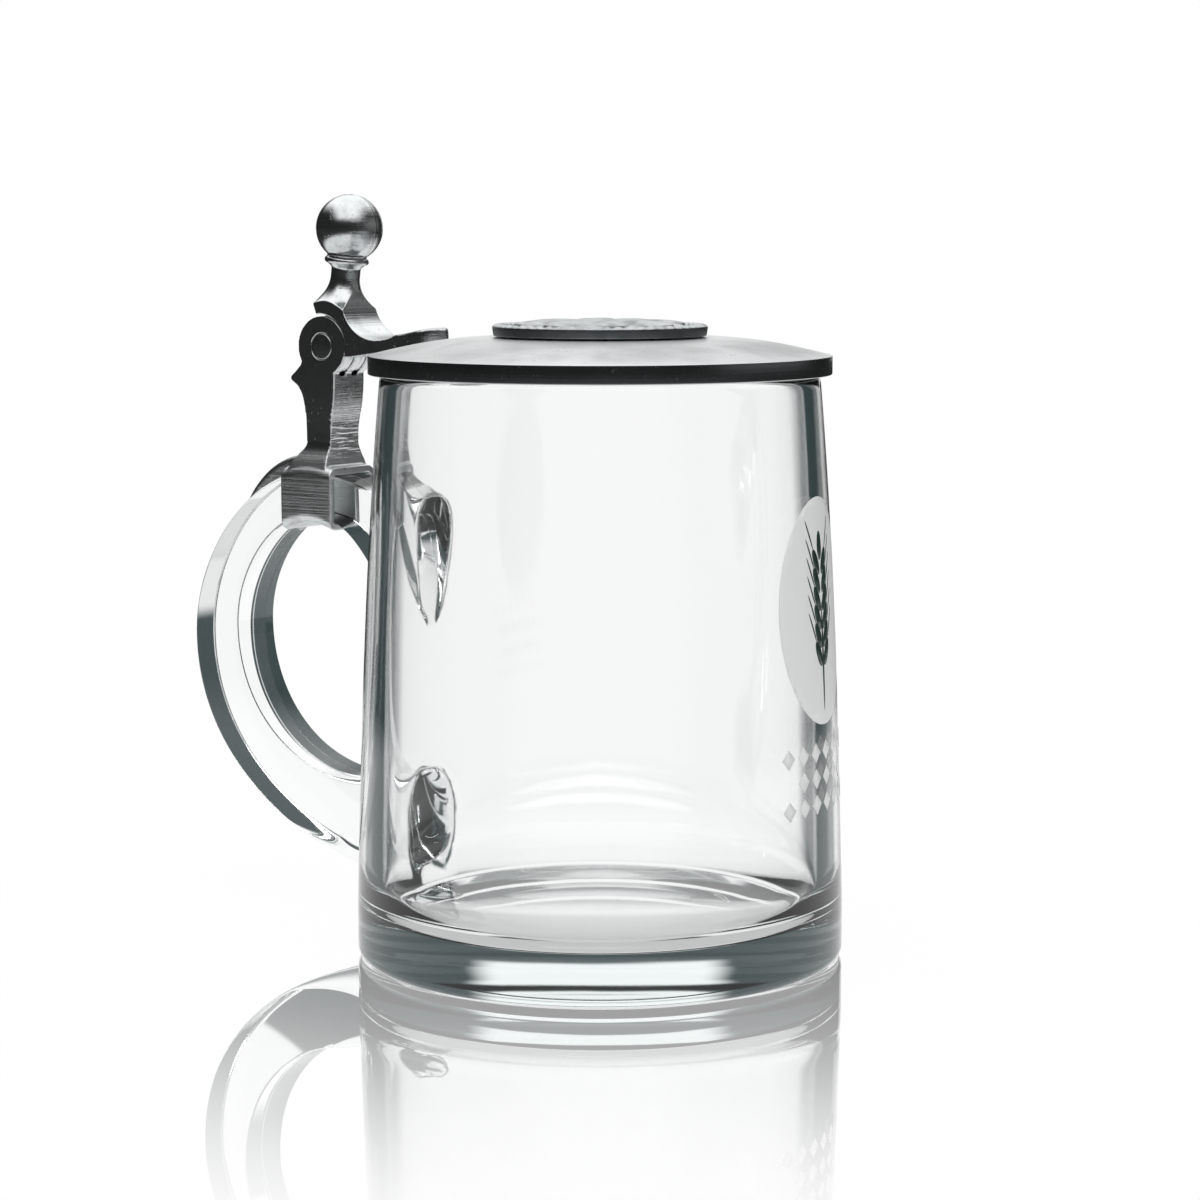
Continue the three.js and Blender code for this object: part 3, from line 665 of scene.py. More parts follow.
class Nodes:
    """The node tree of a material or a world, emptied first."""

    def __init__(self, owner):
        owner.use_nodes = True
        self.tree = owner.node_tree
        self.tree.nodes.clear()

    def add(self, kind, settings=None, inputs=None, output=0):
        """Adds a node: its settings first, then the values or links of its sockets."""
        node = self.tree.nodes.new(kind)
        for name, value in (settings or {}).items():
            setattr(node, name, value)
        for key, value in (inputs or {}).items():
            if isinstance(value, Value):
                self.tree.links.new(value.socket, node.inputs[key])
            else:
                node.inputs[key].default_value = value
        return Value(self, node.outputs[output]) if node.outputs else node

    def split(self, vector):
        made = self.add("ShaderNodeSeparateXYZ", inputs={"Vector": vector})
        outputs = made.socket.node.outputs
        return [Value(self, outputs[axis]) for axis in "XYZ"]

    def join(self, x, y, z):
        return self.add("ShaderNodeCombineXYZ", inputs={"X": x, "Y": y, "Z": z})

    def rise(self, value, low, high, bottom=0.0, top=1.0):
        """A smooth step from bottom to top as the value goes from low to high."""
        return self.add(
            "ShaderNodeMapRange",
            {"interpolation_type": "SMOOTHSTEP"},
            {"Value": value, "From Min": low, "From Max": high, "To Min": bottom, "To Max": top},
        )

    def blend(self, share, first, second):
        """A colour between two colours."""
        first, second = (c if isinstance(c, Value) else (*c, 1.0) for c in (first, second))
        return self.add(
            "ShaderNodeMix",
            {"data_type": "RGBA"},
            {0: share, 6: first, 7: second},
            output=2,
        )

    def choose(self, share, first, second):
        """A shader between two shaders."""
        return self.add("ShaderNodeMixShader", inputs={0: share, 1: first, 2: second})

    def noise(self, vector, scale, detail=2.0, roughness=0.5):
        return self.add(
            "ShaderNodeTexNoise",
            {"noise_dimensions": "3D"},
            {"Vector": vector, "Scale": scale, "Detail": detail, "Roughness": roughness},
        )

    def stretch(self, vector, x, y, z):
        return self.add("ShaderNodeMapping", inputs={"Vector": vector, "Scale": (x, y, z)})

    def place(self):
        return self.add("ShaderNodeTexCoord", output="Object")

    def radius(self, place):
        """Distance from the Z axis."""
        x, y, _ = self.split(place)
        return (x * x + y * y) ** 0.5

    def facing(self, axis):
        """How far the outward normal points along an axis of the piece, 0 to 2 for X to Z."""
        return self.split(self.add("ShaderNodeTexCoord", output="Normal"))[axis]

    def wear(self):
        """Above a half on edges, below it in hollows."""
        return self.add("ShaderNodeNewGeometry", output="Pointiness")

    def ray(self, fact):
        """One fact about the ray that asks, such as Is Camera Ray."""
        return self.add("ShaderNodeLightPath", output=fact)

    def bump(self, height, depth):
        return self.add("ShaderNodeBump", inputs={"Height": height, "Distance": depth, "Strength": 1.0})

    def glow(self, strength):
        """White light of one strength."""
        return self.add("ShaderNodeEmission", inputs={"Color": (*WHITE, 1), "Strength": strength})

    def output(self, kind, **links):
        self.add(kind, inputs={name.capitalize(): value for name, value in links.items()})


def new_material(name):
    material = bpy.data.materials.new(name)
    return material, Nodes(material)


def clear_glass(glass):
    """Clear glass with a faint cool tint that shows where it is thick."""
    material, nodes = new_material("mug_glass")
    ripple = nodes.noise(nodes.place(), 55.0, detail=1.0)
    shader = nodes.add(
        "ShaderNodeBsdfPrincipled",
        inputs={
            "Base Color": (1, 1, 1, 1),
            "Roughness": 0.03,
            "IOR": 1.5,
            "Transmission Weight": 1.0,
            "Normal": nodes.bump(ripple, 0.02 * MM),
        },
    )
    volume = nodes.add(
        "ShaderNodeVolumeAbsorption",
        inputs={"Color": (*glass.tint, 1), "Density": glass.tint_density},
    )
    nodes.output("ShaderNodeOutputMaterial", surface=shader, volume=volume)
    return material


def pewter_shader(nodes, color, roughness, height, depth):
    shader = nodes.add(
        "ShaderNodeBsdfPrincipled",
        inputs={
            "Base Color": color,
            "Metallic": 1.0,
            "Roughness": roughness,
            "Normal": nodes.bump(height, depth),
        },
    )
    nodes.output("ShaderNodeOutputMaterial", surface=shader)


def cast_pewter(pewter):
    """Bright mottled castings, filed on their fronts and round the collar, with tarnish in the pits."""
    material, nodes = new_material("filed_pewter")
    place = nodes.place()
    z = nodes.split(place)[2]
    front = nodes.rise(nodes.facing(0), 0.5, 0.85)
    collar = nodes.rise(z, FILED_TOP, FILED_TOP - 2 * MM)
    filed = front.larger(collar)
    cloud = nodes.noise(place, 170.0, detail=5.0, roughness=0.6)
    grain = nodes.noise(place, 1500.0, detail=4.0, roughness=0.6)
    pits = nodes.rise(nodes.noise(place, 800.0, detail=3.0), 0.62, 0.74)
    marks = nodes.noise(nodes.stretch(place, 30.0, 30.0, 3000.0), 1.0, detail=4.0, roughness=0.65)
    marks = nodes.rise(marks, 0.35, 0.65) * filed * (0.35 + collar * 0.05)
    shank_foot = nodes.rise(z, FILED_TOP - 3.5 * MM, FILED_TOP) * front
    shank_foot = shank_foot * nodes.rise(z, FILED_TOP + 6 * MM, FILED_TOP + 2.5 * MM)
    ridges = nodes.noise(nodes.stretch(place, 90.0, 110.0, 1100.0), 1.0, detail=2.0)
    ridges = nodes.rise(ridges, 0.4, 0.6) * shank_foot
    worn = nodes.rise(nodes.wear(), 0.53, 0.64)
    color = nodes.blend(nodes.rise(cloud, 0.45, 0.72) * 0.35, pewter.cast, pewter.patina_and_shade)
    color = nodes.blend(pits * 0.4, color, pewter.patina_and_shade)
    color = nodes.blend(marks * 0.3 + ridges * 0.4, color, pewter.turned)
    color = nodes.blend(worn * 0.4, color, pewter.turned)
    roughness = 0.10 + cloud * 0.16 + pits * 0.15 + marks * 0.1 + collar * 0.11
    height = marks * 0.8 + grain * 0.3 - pits * 0.4 + ridges * 2.4
    pewter_shader(nodes, color, roughness, height, 0.05 * MM)
    return material


def turned_pewter(pewter):
    """Satin pewter with fine rings left by the lathe, and painted shade on its upright edge faces."""
    material, nodes = new_material("satin_pewter")
    place = nodes.place()
    z = nodes.split(place)[2]
    radius = nodes.radius(place)
    edge = nodes.rise(abs(nodes.facing(2)), 0.7, 0.35)
    rings = nodes.noise(nodes.join(radius * 2600.0, z * 2600.0, 0.0), 1.0, detail=3.0)
    cloud = nodes.noise(place, 70.0, detail=4.0, roughness=0.5)
    specks = nodes.rise(nodes.noise(place, 900.0, detail=3.0), 0.62, 0.75)
    handled = nodes.rise(radius, 46 * MM, 41 * MM) * nodes.rise(radius, 24 * MM, 34 * MM)
    tone = nodes.rise(cloud, 0.35, 0.75) * (0.15 + handled * 0.3)
    color = nodes.blend(tone, pewter.turned, pewter.patina_and_shade)
    color = nodes.blend(specks * 0.25 + rings * 0.08, color, pewter.patina_and_shade)
    # Painted shade: the upright faces round the edge (the edge mask) are darkened towards the dark tarnish
    # colour.
    color = nodes.blend(edge * 0.75, color, pewter.patina_and_shade)
    roughness = 0.29 + cloud * 0.10 + specks * 0.1 - edge * 0.1
    pewter_shader(nodes, color, roughness, rings, 0.02 * MM)
    return material


def struck_pewter(pewter):
    """The medallion's grainy pewter, dark in its hollows, with painted shade on the upright face of its rim.
    """
    material, nodes = new_material("struck_pewter")
    place = nodes.place()
    rim = nodes.rise(nodes.radius(place), MEDALLION_RADIUS - MM, MEDALLION_RADIUS - 0.5 * MM)
    edge = nodes.rise(nodes.facing(2), 0.6, 0.25) * rim
    grain = nodes.noise(place, 900.0, detail=5.0, roughness=0.65)
    cloud = nodes.noise(place, 260.0, detail=4.0)
    hollow = nodes.rise(nodes.wear(), 0.42, 0.50, 1.0, 0.0)
    color = nodes.blend(0.15 + nodes.rise(cloud, 0.42, 0.70) * 0.45, pewter.cast, pewter.patina_and_shade)
    color = nodes.blend(hollow * 0.5, color, pewter.patina_and_shade)
    # Painted shade: the upright face of the rim (the edge mask) is darkened towards the dark tarnish colour.
    color = nodes.blend(edge * 0.85, color, pewter.patina_and_shade)
    roughness = 0.46 + grain * 0.2 - edge * 0.2
    pewter_shader(nodes, color, roughness, grain, 0.08 * MM)
    return material


def pin_steel(pewter):
    """Drawn wire with fine lines round it."""
    material, nodes = new_material("drawn_wire")
    lines = nodes.noise(nodes.stretch(nodes.place(), 200.0, 4000.0, 200.0), 1.0)
    color = nodes.blend(lines * 0.3, pewter.steel, pewter.patina_and_shade)
    pewter_shader(nodes, color, 0.22 + lines * 0.15, lines, 0.01 * MM)
    return material


def enamel(name, color):
    """Fired enamel: slightly uneven in colour, with a soft gloss."""
    material, nodes = new_material(name)
    cloud = nodes.noise(nodes.place(), 420.0, detail=3.0)
    shader = nodes.add(
        "ShaderNodeBsdfPrincipled",
        inputs={
            "Base Color": nodes.blend(cloud * 0.25, color, [part * 0.8 for part in color]),
            "Roughness": 0.30 + cloud * 0.15,
            "Normal": nodes.bump(cloud, 0.02 * MM),
        },
    )
    nodes.output("ShaderNodeOutputMaterial", surface=shader)
    return material


# Glass


def side_radius(glass, z):
    """Radius of the outside of the glass at a height."""
    pull = (GLASS_HEIGHT - FOOT_HEIGHT) / 3
    share = min(max((z - FOOT_HEIGHT) / (GLASS_HEIGHT - FOOT_HEIGHT), 0), 1)
    radii = (
        FOOT_RADIUS,
        FOOT_RADIUS - SIDE_LEAN_LOW * pull,
        glass.rim_radius + SIDE_LEAN_HIGH * pull,
        glass.rim_radius,
    )
    return sum(radius * weight for radius, weight in zip(radii, curve_weights(share)))


def wall_thickness(glass, z):
    share = (z - glass.floor_thickness) / (GLASS_HEIGHT - glass.floor_thickness)
    return mix(glass.foot_wall, glass.rim_wall, share)


def glass_profile(glass):
    """The body's outline from the middle of its underside, round the rim, to the middle of its floor."""
    lip = glass.rim_wall / 2
    lip_z = GLASS_HEIGHT - lip
    corner_z = glass.floor_thickness + FLOOR_CORNER
    heights = [mix(FOOT_HEIGHT, lip_z, i / SIDE_STEPS) for i in range(SIDE_STEPS + 1)]
    inner_heights = [mix(lip_z, corner_z, i / SIDE_STEPS) for i in range(SIDE_STEPS + 1)]
    outside = [at(side_radius(glass, z), z) for z in heights]
    inside = [at(side_radius(glass, z) - wall_thickness(glass, z), z) for z in inner_heights]
    corner = inside[-1] - at(FLOOR_CORNER_WIDTH, 0)
    to_floor = [
        corner + at(point.x * FLOOR_CORNER_WIDTH, point.z * FLOOR_CORNER)
        for point in arc(at(0, 0), 1, 0, -90)
    ]
    heel = at(FOOT_RADIUS - HEEL_ROUNDING, HEEL_ROUNDING)
    punt = at(0, PUNT_RISE)
    punt_edge = at(PUNT_SHARE * FOOT_RADIUS, 0)
    return [
        *bezier(punt, punt + punt_edge / 3, 2 * (punt + punt_edge) / 3, punt_edge, PUNT_STEPS),
        *arc(heel, HEEL_ROUNDING, -90, 0),
        *outside,
        *arc(at(outside[-1].x - lip, lip_z), lip, 0, 180)[1:-1],
        *inside,
        *to_floor[1:],
        at(corner.x * FLOOR_RING_SHARE, glass.floor_thickness),
        at(0, glass.floor_thickness),
    ]


def handle_root(glass, z):
    return at(ROOT_SINK - side_radius(glass, z), z)


def shoulder(crest, belly):
    """The curve from a level crest round to an upright belly."""
    return (
        crest,
        at(mix(crest.x, belly.x, SHOULDER_PULL), crest.z),
        at(belly.x, mix(belly.z, crest.z, SHOULDER_PULL)),
        belly,
    )


def outer_rail(glass):
    """Three curves down the back of the handle: to the crest, to the belly and in to the foot."""
    top = handle_root(glass, TOP_ROOT_HIGH)
    crest = at(CREST_X, CREST_HEIGHT)
    belly = at(-HANDLE_REACH, BELLY_HEIGHT)
    foot = handle_root(glass, FOOT_ROOT_LOW)
    drop = belly.z - foot.z
    return (
        (
            top,
            at(mix(top.x, crest.x, ARM_PULL), top.z),
            at(mix(crest.x, top.x, ARM_PULL), crest.z),
            crest,
        ),
        shoulder(crest, belly),
        (
            belly,
            at(belly.x, belly.z - BELLY_PULL * drop),
            at(mix(foot.x, belly.x, FOOT_PULL), foot.z + FOOT_SLOPE * drop),
            foot,
        ),
    )


def inner_rail(glass):
    """Three curves down the palm side of the handle."""
    top = handle_root(glass, TOP_ROOT_LOW)
    crest = at(CREST_X, CREST_HEIGHT - CREST_THICKNESS)
    belly = at(-HANDLE_REACH + BELLY_THICKNESS, BELLY_HEIGHT + BELLY_STAGGER)
    foot = handle_root(glass, FOOT_ROOT_HIGH)
    drop = belly.z - foot.z
    return (
        (
            top,
            at(mix(top.x, crest.x, WEB_OUT_PULL), mix(top.z, crest.z, WEB_UP_PULL)),
            at(mix(crest.x, top.x, SHOULDER_PULL), crest.z),
            crest,
        ),
        shoulder(crest, belly),
        (
            belly,
            at(belly.x, belly.z - PALM_PULL * drop),
            at(mix(foot.x, belly.x, PALM_FOOT_PULL), foot.z - PALM_FOOT_DIP * drop),
            foot,
        ),
    )


def handle_section(glass, station):
    """The section at a station from 0, the top root, to 3, the foot root."""
    legs = list(zip(outer_rail(glass), inner_rail(glass)))
    leg = min(int(station), len(legs) - 1)
    near_end = min(station, len(legs) - station)
    flare = max(0.0, 1 - near_end / FLARE_LENGTH) ** 2
    half = mix(glass.handle_width, glass.root_width, flare) / 2
    tail = mix(1, TAIL_WIDTH_SHARE, flare) if leg == 0 else 1
    outer, inner = (curve_point(curve, station - leg) for curve in legs[leg])
    rounding = max(0.0, 1 - near_end / ROUNDING_LENGTH)
    return outer, inner, half, half * tail, BACK_CORNER, PALM_CORNER, rounding


def handle_bar(name, glass, start, end, steps, grow=0.0):
    sections = [handle_section(glass, mix(start, end, i / steps)) for i in range(steps + 1)]
    return loft(name, sections, grow)


def station_at(glass, x):
    """The station above the belly where the handle's back is at this x."""
    near, far = 0.0, 2.0
    for _ in range(STATION_HALVINGS):
        middle = (near + far) / 2
        if handle_section(glass, middle)[0].x > x:
            near = middle
        else:
            far = middle
    return near


def melt_seam(obj):
    """Rounds the line where the handle meets the body, as hot glass flows there."""
    with editing(obj) as bm:
        bmesh.ops.remove_doubles(bm, verts=bm.verts, dist=SEAM_WELD)
        bmesh.ops.triangulate(bm, faces=[face for face in bm.faces if len(face.verts) > 4])
        sides = {vert: {face.material_index for face in vert.link_faces} for vert in bm.verts}
        seam = [vert.co for vert in bm.verts if len(sides[vert]) > 1]
        tree = KDTree(len(seam))
        for index, place in enumerate(seam):
            tree.insert(place, index)
        tree.balance()
        near = [vert for vert in bm.verts if tree.find(vert.co)[2] < SEAM_REACH]
        soften(bm, near, SEAM_PASSES)


class MUG_OT_glass(bpy.types.Operator):
    """Model the glass body with its handle fused on"""

    bl_idname = "mug.glass"
    bl_label = "Glass"

    def execute(self, context):
        glass = context.scene.mug_glass
        material = clear_glass(glass)
        body = turned("mug_glass", glass_profile(glass), BODY_STEPS)
        handle = handle_bar("handle", glass, 0, 3, 3 * HANDLE_STEPS)
        # Two slots of the same glass, so that the seam can be found after the union
        for index, obj in enumerate((body, handle)):
            obj.data.materials.append(material)
            obj.data.materials.append(material)
            mark_faces(obj, index)
        combine(body, handle, "UNION")
        melt_seam(body)
        dress(body, material, "mug", "clear_glass", "glass_body", "glass_handle")
        return {"FINISHED"}


# Mount


def shank_side():
    """The shank seen from the side, with the pointed stop at its back."""
    foot_front = CREST_X + COLLAR_LENGTH / 2 - COLLAR_WALL / 3
    foot_back = CREST_X - COLLAR_LENGTH / 2 + COLLAR_WALL / 3
    waist_front = at(CREST_X + SHANK_WAIST / 2 + SHANK_FORWARD, SHANK_WAIST_Z)
    waist_back = waist_front - at(SHANK_WAIST, 0)
    ring_foot = arc(HINGE, RING_RADIUS, 210, 300, 2 * ARC_STEPS)
    front = ring_foot[-1]
    tip = HINGE + at(-RING_RADIUS - STOP_REACH, -STOP_DROP)

    def nose(x, z):
        return tip + at(x, z) * STOP_NOSE

    return [
        *ring_foot,
        *bezier(
            front,
            at(front.x, SHANK_WAIST_Z + SHANK_BLEND),
            waist_front + at(0, SHANK_BLEND),
            waist_front,
        )[1:],
        *bezier(
            waist_front,
            waist_front - at(0, SHANK_BLEND / 2),
            at(foot_front - COLLAR_WALL / 2, COLLAR_TOP),
            at(foot_front, SHANK_FOOT),
        )[1:],
        *bezier(
            at(foot_back, SHANK_FOOT),
            at(foot_back, COLLAR_TOP + COLLAR_WALL),
            waist_back - at(0, SHANK_BLEND / 3),
            waist_back,
        ),
        *bezier(waist_back, waist_back + at(0, 1.5 * SHANK_BLEND), nose(4, -3), nose(0.8, -1))[1:],
        *bezier(nose(0.8, -1), nose(-0.2, -0.3), nose(-0.3, 0.4), nose(0.9, 1.1))[1:],
        HINGE + at(*STOP_ROOT) * RING_RADIUS,
    ]


def shank_front():
    """The shank seen from the front, from the hinge down to the collar."""
    waist = at(SHANK_WAIST_WIDTH / 2, SHANK_WAIST_Z)
    collar_half = bpy.context.scene.mug_glass.handle_width / 2 + COLLAR_WALL
    right = [
        at(HINGE_HALF, HINGE.z),
        *bezier(
            at(HINGE_HALF, SHANK_TOP),
            at(HINGE_HALF, SHANK_WAIST_Z + SHANK_BLEND),
            waist + at(0, SHANK_BLEND),
            waist,
        ),
        *bezier(
            waist,
            waist - at(0, SHANK_BLEND / 3),
            at(collar_half, COLLAR_TOP + COLLAR_WALL / 2),
            at(collar_half, SHANK_FOOT),
        )[1:],
    ]
    outline = [at(-point.x, point.z) for point in right] + right[::-1]
    return [Vector((CREST_X, point.x, point.z)) for point in outline]


def leaf_sections(glass):
    """Sections of the leaf that lies along the handle's back and narrows to its tip."""
    start = station_at(glass, CREST_X)
    end = station_at(glass, CREST_X - COLLAR_LENGTH / 2 - LEAF_LENGTH)
    steps = 2 * ARC_STEPS
    sections = []
    for i in range(steps + 1):
        share = i / steps
        outer, inner, *_ = handle_section(glass, mix(start, end, share))
        out = (outer - inner).normalized()
        half = mix(LEAF_WIDTH, LEAF_TIP_WIDTH, share**1.5) / 2
        thickness = mix(LEAF_THICKNESS, LEAF_TIP_THICKNESS, share**3)
        top = outer + out * (COLLAR_GAP + thickness)
        corner = min(LEAF_CORNER, half / 2)
        sections.append((top, outer - out * thickness, half, half, corner, corner, 0.0))
    return sections


def collar_side():
    """The collar seen from the side: upright ends, swelling a little outwards."""
    front = CREST_X + COLLAR_LENGTH / 2
    back = CREST_X - COLLAR_LENGTH / 2
    high = at(0, CREST_HEIGHT + 2 * COLLAR_WALL)
    low = at(0, CREST_HEIGHT - CREST_THICKNESS - 3 * COLLAR_WALL)
    swell = at(COLLAR_SWELL, 0)
    ahead, behind = at(front, 0), at(back, 0)
    return [
        *bezier(ahead + high, ahead + high + swell, ahead + low + swell, ahead + low),
        *bezier(behind + low, behind + low - swell, behind + high - swell, behind + high),
    ]


def collar(glass):
    start = station_at(glass, CREST_X + COLLAR_LENGTH)
    end = station_at(glass, CREST_X - COLLAR_LENGTH)
    wrap = handle_bar("collar", glass, start, end, 4 * ARC_STEPS, COLLAR_GAP + COLLAR_WALL)
    return combine(wrap, prism("length", collar_side(), (0, 2 * COLLAR_LENGTH, 0)), "INTERSECT")


class MUG_OT_mount(bpy.types.Operator):
    """Model the pewter mount: collar, leaf, shank and three hinge rings"""

    bl_idname = "mug.mount"
    bl_label = "Hinge Mount"

    def execute(self, context):
        glass = context.scene.mug_glass
        side = prism("hinge_mount_piece", shank_side(), (0, 3 * HINGE_HALF, 0))
        mount = combine(side, prism("front", shank_front(), (3 * COLLAR_LENGTH, 0, 0)), "INTERSECT")
        combine(mount, collar(glass), "UNION")
        combine(mount, loft("leaf", leaf_sections(glass)), "UNION")
        combine(mount, rod("rings", RING_RADIUS, 2 * HINGE_HALF), "UNION")
        combine(mount, rod("bore", BORE_RADIUS, 4 * HINGE_HALF), "DIFFERENCE")
        for sign in (-1, 1):
            slot_place = HINGE + Vector((0, sign * LUG_OFFSET, 0))
            combine(mount, rod("slot", RING_CLEAR_RADIUS, SLOT_WIDTH, slot_place), "DIFFERENCE")
            seat_place = HINGE + Vector((0, sign * HINGE_HALF, 0))
            seat = rod("seat", PLUG_RADIUS + PLUG_CLEARANCE, 2 * SEAT_DEPTH, seat_place)
            combine(mount, seat, "DIFFERENCE")
        start = station_at(glass, CREST_X + COLLAR_LENGTH)
        end = station_at(glass, CREST_X - COLLAR_LENGTH - LEAF_LENGTH)
        bed = handle_bar("bed", glass, start, end, 6 * ARC_STEPS, COLLAR_GAP)
        combine(mount, bed, "DIFFERENCE")
        cast_skin(mount, CAST_VOXEL)
        dress(mount, cast_pewter(context.scene.mug_pewter), "mug", "cast_pewter", "hinge_mount")
        return {"FINISHED"}


class MUG_OT_pin(bpy.types.Operator):
    """Model the two plugs that close the hinge and finish its pin"""

    bl_idname = "mug.pin"
    bl_label = "Hinge Pin"

    def execute(self, context):
        pewter = context.scene.mug_pewter
        pin = frame["nodes"]["hinge_pin"]
        pin.data.materials.clear()
        pin.data.materials.append(pin_steel(pewter))
        material = bpy.data.materials["filed_pewter"]
        for node in ("pin_plug_left", "pin_plug_right"):
            low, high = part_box(node)
            plug = rod(f"{node}_piece", PLUG_RADIUS, high.y - low.y, (low + high) / 2, PLUG_STEPS)
            with editing(plug) as bm:
                rims = [edge for edge in bm.edges if edge.calc_face_angle() > PLUG_RIM_ANGLE]
                bmesh.ops.bevel(
                    bm,
                    geom=rims,
                    offset=PLUG_BREAK,
                    segments=3,
                    profile=0.5,
                    affect="EDGES",
                    material=-1,
                )
            dress(plug, material, "mug", "cast_pewter", node)
        return {"FINISHED"}


# Lid


def lid_top(grow=0.0):
    """The lid's upper face from its edge in to the medallion's seat."""
    inner = MEDALLION_RADIUS + SEAT_MARGIN
    edge = LID_RADIUS - EDGE_BREAK + grow
    return bezier(
        at(edge, LID_EDGE_TOP + grow),
        at(mix(edge, inner, LID_EDGE_PULL), mix(LID_EDGE_TOP, LID_SEAT, 0.5) + grow),
        at(mix(inner, edge, LID_SEAT_PULL), LID_SEAT + grow),
        at(inner, LID_SEAT + grow),
        3 * ARC_STEPS,
    )


def lid_profile():
    top = lid_top()
    flange_inner = FLANGE_RADIUS - FLANGE_WALL
    under = [point - at(0, LID_SHEET) for point in top if point.x < flange_inner]
    low = LID_LOW.z
    rim = LID_RADIUS - EDGE_BREAK
    lip_inner = bpy.context.scene.mug_glass.rim_radius + LIP_CLEARANCE
    lip_z = LID_BOTTOM - LIP_DEPTH
    return [
        at(0, LID_SEAT - LID_SHEET),
        *under[::-1],
        at(flange_inner, LID_BOTTOM),
        at(flange_inner, low),
        *arc(at(FLANGE_RADIUS - EDGE_BREAK, low + EDGE_BREAK), EDGE_BREAK, -90, 0, EDGE_STEPS),
        at(FLANGE_RADIUS, LID_BOTTOM),
        at(lip_inner, LID_BOTTOM),
        at(lip_inner, lip_z),
        *arc(at(rim, lip_z + EDGE_BREAK), EDGE_BREAK, -90, 0, EDGE_STEPS),
        *arc(at(rim, LID_EDGE_TOP - EDGE_BREAK), EDGE_BREAK, 0, 75, EDGE_STEPS),
        *top,
        at(0, LID_SEAT),
    ]


class MUG_OT_lid(bpy.types.Operator):
    """Model the turned pewter lid"""

    bl_idname = "mug.lid"
    bl_label = "Lid"

    def execute(self, context):
        lid = turned("lid_plate_piece", lid_profile(), LID_STEPS)
        dress(lid, turned_pewter(context.scene.mug_pewter), "lid", "turned_pewter", "lid_plate")
        lid.data.set_sharp_from_angle(angle=LID_CREASE)
        return {"FINISHED"}


# Medallion


def medallion_profile():
    rim = MEDALLION_RADIUS - EDGE_BREAK
    crown = FIELD_LOW + FIELD_DOME
    return [
        at(0, MEDALLION_LOW.z),
        at(rim, MEDALLION_LOW.z),
        *arc(at(rim, MEDALLION_TOP - EDGE_BREAK), EDGE_BREAK, 0, 90, EDGE_STEPS),
        at(FIELD_EDGE + FIELD_DEPTH, MEDALLION_TOP),
        *bezier(
            at(FIELD_EDGE, FIELD_LOW),
            at(2 * FIELD_EDGE / 3, mix(FIELD_LOW, crown, 2 / 3)),
            at(FIELD_EDGE / 3, crown),
            at(0, crown),
        ),
    ]


def dome_height(radius):
    """Height of the domed field at a distance from its middle."""
    return FIELD_LOW + FIELD_DOME * (1 - (radius / FIELD_EDGE) ** 2)


def add_mound(bm, place, turn, size, sink, twist=0.0):
    """A low oval mound, turned about Z: the top of an egg sunk by so many times its height."""
    length, width, height = size
    spread = 1 / math.sqrt(1 - (sink / (1 + sink)) ** 2)
    egg = Matrix.Diagonal((length * spread, width * spread, height * (1 + sink), 1))
    seat = Matrix.Translation(place - at(0, height * sink)) @ Matrix.Rotation(twist, 4, "Z")
    matrix = Matrix.Rotation(turn, 4, "Z") @ seat @ egg
    bmesh.ops.create_icosphere(bm, subdivisions=MOUND_DETAIL, radius=1, matrix=matrix)


class MUG_OT_medallion(bpy.types.Operator):
    """Model the medallion with its rosette and beaded border"""

    bl_idname = "mug.medallion"
    bl_label = "Medallion"

    def execute(self, context):
        bm = bmesh.new()
        spin_profile(bm, medallion_profile(), ROUND_STEPS)
        middle = (ROSETTE_EYE + ROSETTE_RADIUS) / 2
        petal = (ROSETTE_RADIUS - ROSETTE_EYE) / 2
        petal_size = (petal, PETAL_WIDTH_SHARE * petal, PETAL_HEIGHT)
        petal_place = at(middle, dome_height(middle))
        dot_size = (2 * BEAD_SIZE, 2 * BEAD_SIZE, PETAL_HEIGHT)
        dot_place = at(ROSETTE_RADIUS, dome_height(ROSETTE_RADIUS))
        for i in range(ROSETTE_PETALS):
            turn = 2 * math.pi * i / ROSETTE_PETALS
            add_mound(bm, petal_place, turn, petal_size, PETAL_SINK)
            add_mound(bm, dot_place, turn + math.pi / ROSETTE_PETALS, dot_size, PETAL_SINK)
        eye_size = (ROSETTE_EYE, ROSETTE_EYE, EYE_HEIGHT)
        add_mound(bm, at(0, dome_height(0)), 0, eye_size, PETAL_SINK)
        bead_size = (BEAD_LENGTH, BEAD_SIZE, BEAD_SIZE / 2)
        bead_place = at(MEDALLION_RADIUS - MEDALLION_BORDER / 2, MEDALLION_TOP)
        for i in range(BORDER_BEADS):
            turn = 2 * math.pi * i / BORDER_BEADS
            add_mound(bm, bead_place, turn, bead_size, BEAD_SINK, BEAD_TWIST)
        medallion = new_object("lid_medallion_piece", bm)
        cast_skin(medallion, CAST_VOXEL, MEDALLION_PASSES)
        material = struck_pewter(context.scene.mug_pewter)
        dress(medallion, material, "lid", "turned_pewter", "lid_medallion")
        return {"FINISHED"}


# Thumblift


def stem_place():
    lean = Matrix.Rotation(STEM_LEAN, 4, "Y")
    return Matrix.Translation(HINGE + at(STEM_FORWARD, PLATE_RISE)) @ lean


def bell_profile():
    """The flare of the neck, closed below, about the stem's own axis."""
    return [
        at(0, -2 * PLATE_RISE),
        at(2 * BELL_RADIUS, -2 * PLATE_RISE),
        at(2 * BELL_RADIUS, -2 * BELL_DROP),
        *bezier(
            at(BELL_RADIUS, -BELL_DROP),
            at(mix(NECK_RADIUS, BELL_RADIUS, 1 / 3), 0),
            at(NECK_RADIUS, NECK_HEIGHT / 2),
            at(NECK_RADIUS, NECK_HEIGHT),
            2 * ARC_STEPS,
        ),
        at(0, NECK_HEIGHT),
    ]


